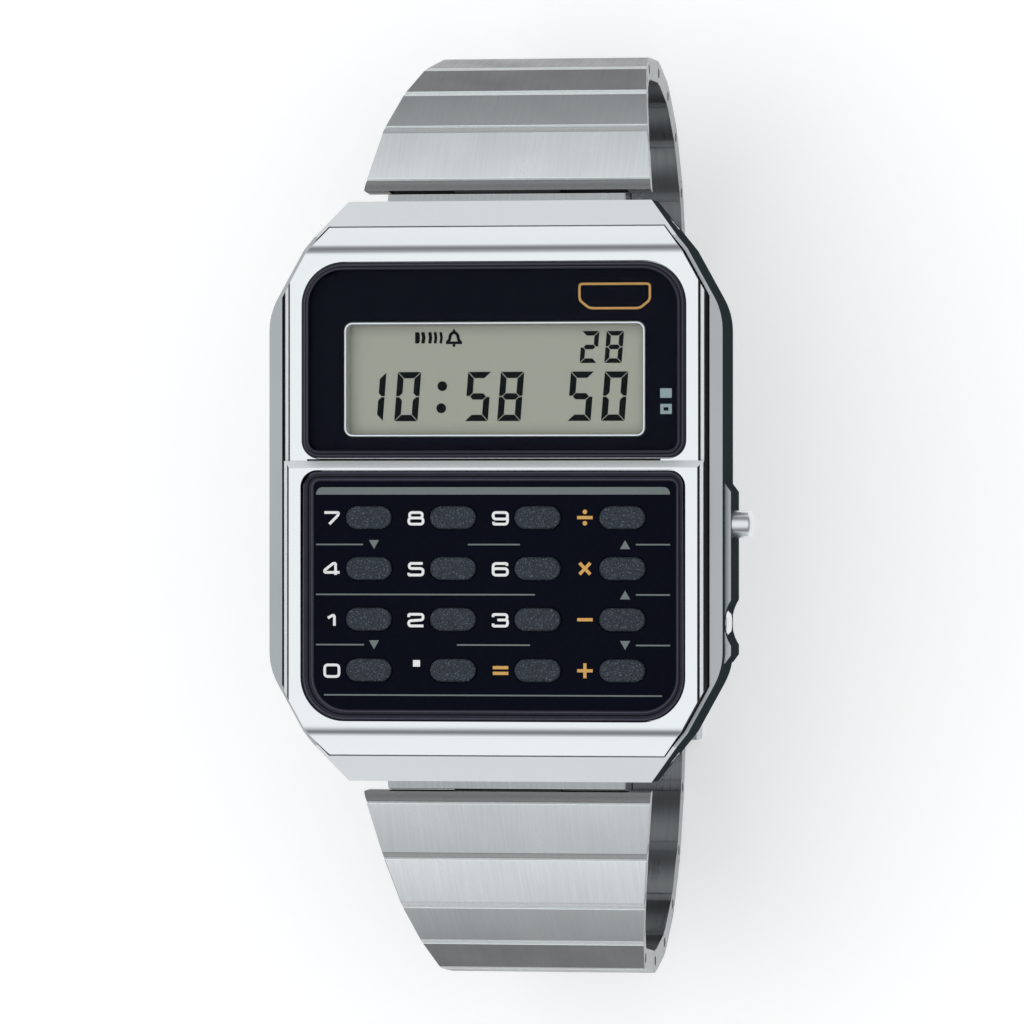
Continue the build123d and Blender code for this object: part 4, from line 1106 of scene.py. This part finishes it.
def add_lips_and_joints(finish):
    """Band steel: blasted lips, painted sheen, shade and highlight, and painted shade with grime in
    joints.
    """
    tree = finish.node_tree
    new, join = tree.nodes.new, tree.links.new
    combined, step_of, put_over = (partial(made, tree) for made in (arithmetic, passing, cover))
    shader = tree.nodes["Principled BSDF"].inputs
    where = next(n for n in tree.nodes if n.type == "ATTRIBUTE")
    place = new("ShaderNodeSeparateXYZ")
    join(where.outputs["Vector"], place.inputs["Vector"])
    along, out = place.outputs["Y"], place.outputs["Z"]

    def product(first, *others):
        """All values multiplied."""
        for other in others:
            first = combined("MULTIPLY", first, other)
        return first

    def pin_distance(pin):
        """Distance across the link's section from a pin."""
        from_pin = combined("SUBTRACT", along, pin)
        return combined("SQRT", combined("ADD", product(from_pin, from_pin), product(out, out)))

    def blended(base, other, share):
        """A value that passes from one value to another with a share."""
        return combined(
            "ADD", product(base, combined("SUBTRACT", 1.0, share)), product(other, share)
        )

    def stored_value(name):
        """A value that the mesh carries under a name."""
        value = new("ShaderNodeAttribute")
        value.attribute_name = name
        return value.outputs["Fac"]

    near = step_of(pin_distance(0.0), *NEAR_JOINT)
    far = product(step_of(pin_distance(LINK_PITCH), *FAR_JOINT), step_of(out, *BELOW_FACE))
    inside = step_of(combined("ABSOLUTE", stored_value("edge_share")), *OFF_THE_SIDES)
    outside = combined("SUBTRACT", 1.0, inside)
    joint = product(combined("MAXIMUM", near, far), step_of(out, *ABOVE_BACK), inside)
    lip = product(step_of(along, *LIP_STOP), step_of(out, *LIP_ABOVE), inside)
    ledge = product(
        step_of(along, *LEDGE_START), step_of(out, *LEDGE_ABOVE), step_of(along, *LEDGE_STOP)
    )
    blast = noise(tree, where.outputs["Vector"], Scale=BLAST_GRAIN, Detail=3.0)

    # Painted sheen and shade: brushed faces get lighter or darker with viewing angle, and darker
    # towards each link's far end.
    facing = new("ShaderNodeLayerWeight").outputs["Facing"]
    slope = combined("SUBTRACT", FACE_PAINTED_FALLOFF[0], product(along, FACE_PAINTED_FALLOFF[1] / LINK_PITCH))
    painted_face_shade = product(tone_ramp(tree, facing, FACE_PAINTED_SHEEN), slope)
    # Painted shade: the link backs are darker, with painted light bands once a link, and the link
    # sides take one flat painted shade.
    wave = combined("SINE", product(along, 2 * pi / LINK_PITCH))
    below = combined("ADD", product(combined("ADD", wave, 1.0), UNDERSIDE_PAINTED_RIPPLE), UNDERSIDE_PAINTED_SHADE)
    painted_link_shade = blended(painted_face_shade, below, step_of(out, 0.0, BACK_LEVEL))
    painted_link_shade = blended(painted_link_shade, SIDE_PAINTED_SHADE, outside)
    grey = new("ShaderNodeCombineColor")
    for socket in grey.inputs[:3]:
        join(painted_link_shade, socket)
    put_over("RGBA", 1.0, shader["Base Color"], grey.outputs["Color"], "MULTIPLY")
    # The blasted frost on each lip is scaled by the painted lip light that its link carries.
    frost = combined("ADD", LIP_FROST[0], product(blast, LIP_FROST[1]))
    frosted = new("ShaderNodeCombineColor")
    for socket, share in zip(frosted.inputs, LIP_TINT):
        join(product(frost, stored_value("painted_lip_light"), share), socket)
    put_over("RGBA", lip, shader["Base Color"], frosted.outputs["Color"])
    # Painted highlight: a bright line along the edge where each flat face meets the lip.
    put_over("RGBA", ledge, shader["Base Color"], LEDGE_PAINTED_HIGHLIGHT)
    join(combined("SUBTRACT", 1.0, product(lip, 1.0 - LIP_METAL)), shader["Metallic"])
    dull = combined("ADD", LIP_ROUGHNESS[0], product(blast, LIP_ROUGHNESS[1]))
    put_over("FLOAT", lip, shader["Roughness"], dull)
    bump = next(n for n in tree.nodes if n.type == "BUMP")
    put_over("FLOAT", lip, bump.inputs["Height"], product(blast, LIP_RELIEF))
    # Painted shade with grime: the joints round the pins are darkened, where shade falls between
    # links.
    put_over("RGBA", joint, shader["Base Color"], JOINT_PAINTED_SHADE_AND_GRIME)


band_steel = metal(
    "brushed_band_steel", (0.64, 0.675, 0.685), 0.32, (5.0, 0.16, 5.0), shade=0.16, rub=0.10,
    relief=4, place="link_place", smudge=0.25,
)
add_lips_and_joints(band_steel)
link_tree = band_link_tree()
link_forms = {
    "plain": link_form(KNUCKLE_HALF),
    "first": link_form(KNUCKLE_HALF, END_LINK_HALF, True),
    "last": link_form(CLASP_TONGUE_HALF),
}
# Painted light: the lips nearest the case are lit and shaded copies of one blasted steel, one value
# per link; the rest take the back value.
LIP_PAINTED_LIGHT = {"upper": (0.22, 0.42, 0.72, 0.62), "lower": (0.22, 0.34, 0.60, 0.60)}
BACK_LIP_PAINTED_LIGHT = 0.5
GRAIN_SHIFTS = (7.0, 3.0)
link_inputs = {
    item.name: item.identifier for item in link_tree.interface.items_tree if item.in_out == "INPUT"
}


def made_link(name, form, sense, distance, height, angle, near_width, far_width, painted_lip_light):
    """One link from the shared form, as a plain mesh at its place."""
    pattern = in_scene("link_pattern", form)
    recipe = pattern.modifiers.new("link", "NODES")
    recipe.node_group = link_tree
    settings = {
        "Near width": near_width,
        "Far width": far_width,
        "Pitch": LINK_PITCH,
        "Grain shift": distance * GRAIN_SHIFTS[0] + height * GRAIN_SHIFTS[1] * sense,
        "Turn": (-radians(angle), 0.0, 0.0 if sense > 0 else pi),
        "Pin place": (0.0, sense * distance * MM, height * MM),
        "Painted lip light": painted_lip_light,
        "Finish": band_steel,
    }
    for label, value in settings.items():
        recipe[link_inputs[label]] = value
    bpy.context.view_layer.update()
    finished = pattern.evaluated_get(bpy.context.evaluated_depsgraph_get())
    mesh = bpy.data.meshes.new_from_object(finished)
    mesh.name = f"{name}_shape"
    pattern.modifiers.remove(recipe)
    bpy.data.objects.remove(pattern)
    shown(f"{name}_finished", mesh, name, name, LINK_EDGE_ROUND)


def lay_grain(mesh, sense, distance, height, angle):
    """Stores a packed link's own directions, so that its brushing runs along it, and its painted
    lip light.
    """
    grain = mesh.attributes.new("link_place", "FLOAT_VECTOR", "POINT")
    for vertex in mesh.vertices:
        y = sense * vertex.co.y / MM - distance
        z = vertex.co.z / MM - height
        along = y * cos(radians(angle)) - z * sin(radians(angle))
        out = y * sin(radians(angle)) + z * cos(radians(angle))
        grain.data[vertex.index].vector = (
            vertex.co.x / MM + distance, along + LINK_PITCH - END_LINK_PITCH, out
        )
    painted_lip_light = mesh.attributes.new("painted_lip_light", "FLOAT", "POINT")
    painted_lip_light.data.foreach_set("value", [BACK_LIP_PAINTED_LIGHT] * len(mesh.vertices))


for half, sense, angles in (("upper", 1, UPPER_ANGLES), ("lower", -1, LOWER_ANGLES)):
    end_name = f"{half}_end_link"
    end_mesh = merged_copy(end_name)
    lay_grain(end_mesh, sense, BAR_DISTANCE, level(BAR_DEPTH), END_LINK_ANGLE)
    end_mesh.materials.append(band_steel)
    shown(f"{end_name}_finished", end_mesh, end_name, end_name, LINK_EDGE_ROUND)
    distance = BAR_DISTANCE + END_LINK_PITCH * cos(radians(END_LINK_ANGLE))
    height = level(BAR_DEPTH + END_LINK_PITCH * sin(radians(END_LINK_ANGLE)))
    for index, angle in enumerate(angles):
        near_width = max(BAND_NARROW, BAND_WIDTH - BAND_TAPER * index)
        far_width = max(BAND_NARROW, near_width - BAND_TAPER)
        kind = "last" if sense < 0 and index == len(angles) - 1 else "plain" if index else "first"
        painted_lip_light = LIP_PAINTED_LIGHT[half][index] if index < len(LIP_PAINTED_LIGHT[half]) else BACK_LIP_PAINTED_LIGHT
        made_link(
            f"{half}_link_{index + 1}", link_forms[kind], sense, distance, height, angle,
            near_width, far_width, painted_lip_light,
        )
        distance += LINK_PITCH * cos(radians(angle))
        height -= LINK_PITCH * sin(radians(angle))


# Folding clasp: a pressed cover with side walls, a middle leaf and an inner leaf, riveted on steel
# pins. It is brushed along the band like the links.

clasp_steel = metal(
    "brushed_clasp_steel", (0.62, 0.64, 0.655), 0.30, (6000, 220, 6000), shade=0.07, rub=0.08,
    relief=2,
)
for node in ("clasp_cover", "clasp_middle_leaf", "clasp_inner_leaf"):
    finished_node(node, "clasp_steel", clasp_steel, body=node, edge_round=0.08)


# Studio: a plain pale floor, one large soft lamp overhead and a little to the left, and a plain
# sky that is white overhead and low down and greyer between. The camera looks down on the dial.

FLOOR_HALF = 1.5
FLOOR_PALE = (0.80, 0.805, 0.81, 1)
FLOOR_LIFT = 0.33
SKY_LEVELS = (
    (0.0, 1.02), (0.22, 0.98), (0.44, 0.34), (0.66, 0.17), (0.80, 0.42), (0.93, 1.0), (1.0, 1.0),
)
SKY_TINT = (0.985, 1, 1.005)
LAMP_SIZE = 0.9
LAMP_POWER = 3.4
LAMP_PLACE = (-0.05, 0.05, 0.9)
LAMP_TARGET = (0, 0, 0.02)
CAMERA_TILT = radians(9.15)
CAMERA_DISTANCE = 533.0
CAMERA_LENS = 7217 * 36 / 1024
DIAL_POINT = (1.496, -1.55)

floor_form = bmesh.new()
bmesh.ops.create_grid(floor_form, x_segments=2, y_segments=2, size=FLOOR_HALF)
floor_mesh = mesh_of(floor_form, "floor_shape")
floor = in_scene("floor", floor_mesh)
floor_paint = bpy.data.materials.new("pale_floor")
floor_paint.use_nodes = True
paint = floor_paint.node_tree
matt = preset(paint.nodes["Principled BSDF"], {
    "Base Color": FLOOR_PALE, "Roughness": 0.9, "Specular IOR Level": 0.0,
    "Emission Color": (1, 1, 1, 1),
}).inputs
ray = paint.nodes.new("ShaderNodeLightPath").outputs
seen = arithmetic(paint, "ADD", ray["Is Camera Ray"], ray["Is Glossy Ray"])
seen.node.use_clamp = True
seen = arithmetic(paint, "ADD", seen, ray["Is Transmission Ray"])
seen.node.use_clamp = True
paint.links.new(arithmetic(paint, "MULTIPLY", seen, FLOOR_LIFT), matt["Emission Strength"])
floor_mesh.materials.append(floor_paint)

world = bpy.data.worlds.new("studio")
world.use_nodes = True
bpy.context.scene.world = world
sky = world.node_tree
toward = sky.nodes.new("ShaderNodeTexCoord")
split = sky.nodes.new("ShaderNodeSeparateXYZ")
sky.links.new(toward.outputs["Generated"], split.inputs["Vector"])
glow = tone_ramp(sky, split.outputs["Z"], SKY_LEVELS, SKY_TINT)
sky.links.new(glow, sky.nodes["Background"].inputs["Color"])

lamp_data = bpy.data.lights.new("overhead_softbox", "AREA")
lamp_data.shape = "SQUARE"
lamp_data.size = LAMP_SIZE
lamp_data.energy = LAMP_POWER
lamp = in_scene("overhead_softbox", lamp_data)
lamp.location = LAMP_PLACE
lamp.rotation_euler = (Vector(LAMP_TARGET) - lamp.location).to_track_quat("-Z", "Y").to_euler()
lamp.visible_glossy = False

camera_data = bpy.data.cameras.new("camera")
camera_data.sensor_width = 36
camera_data.lens = CAMERA_LENS
camera_data.clip_start = 0.01
camera = in_scene("camera", camera_data)
camera.location = (
    (DIAL_POINT[0] + CAMERA_DISTANCE * sin(CAMERA_TILT)) * MM,
    DIAL_POINT[1] * MM,
    (bezel_top + CAMERA_DISTANCE * cos(CAMERA_TILT)) * MM,
)
camera.rotation_euler = (0, CAMERA_TILT, 0)
bpy.context.scene.camera = camera
bpy.context.scene.view_settings.view_transform = "Standard"
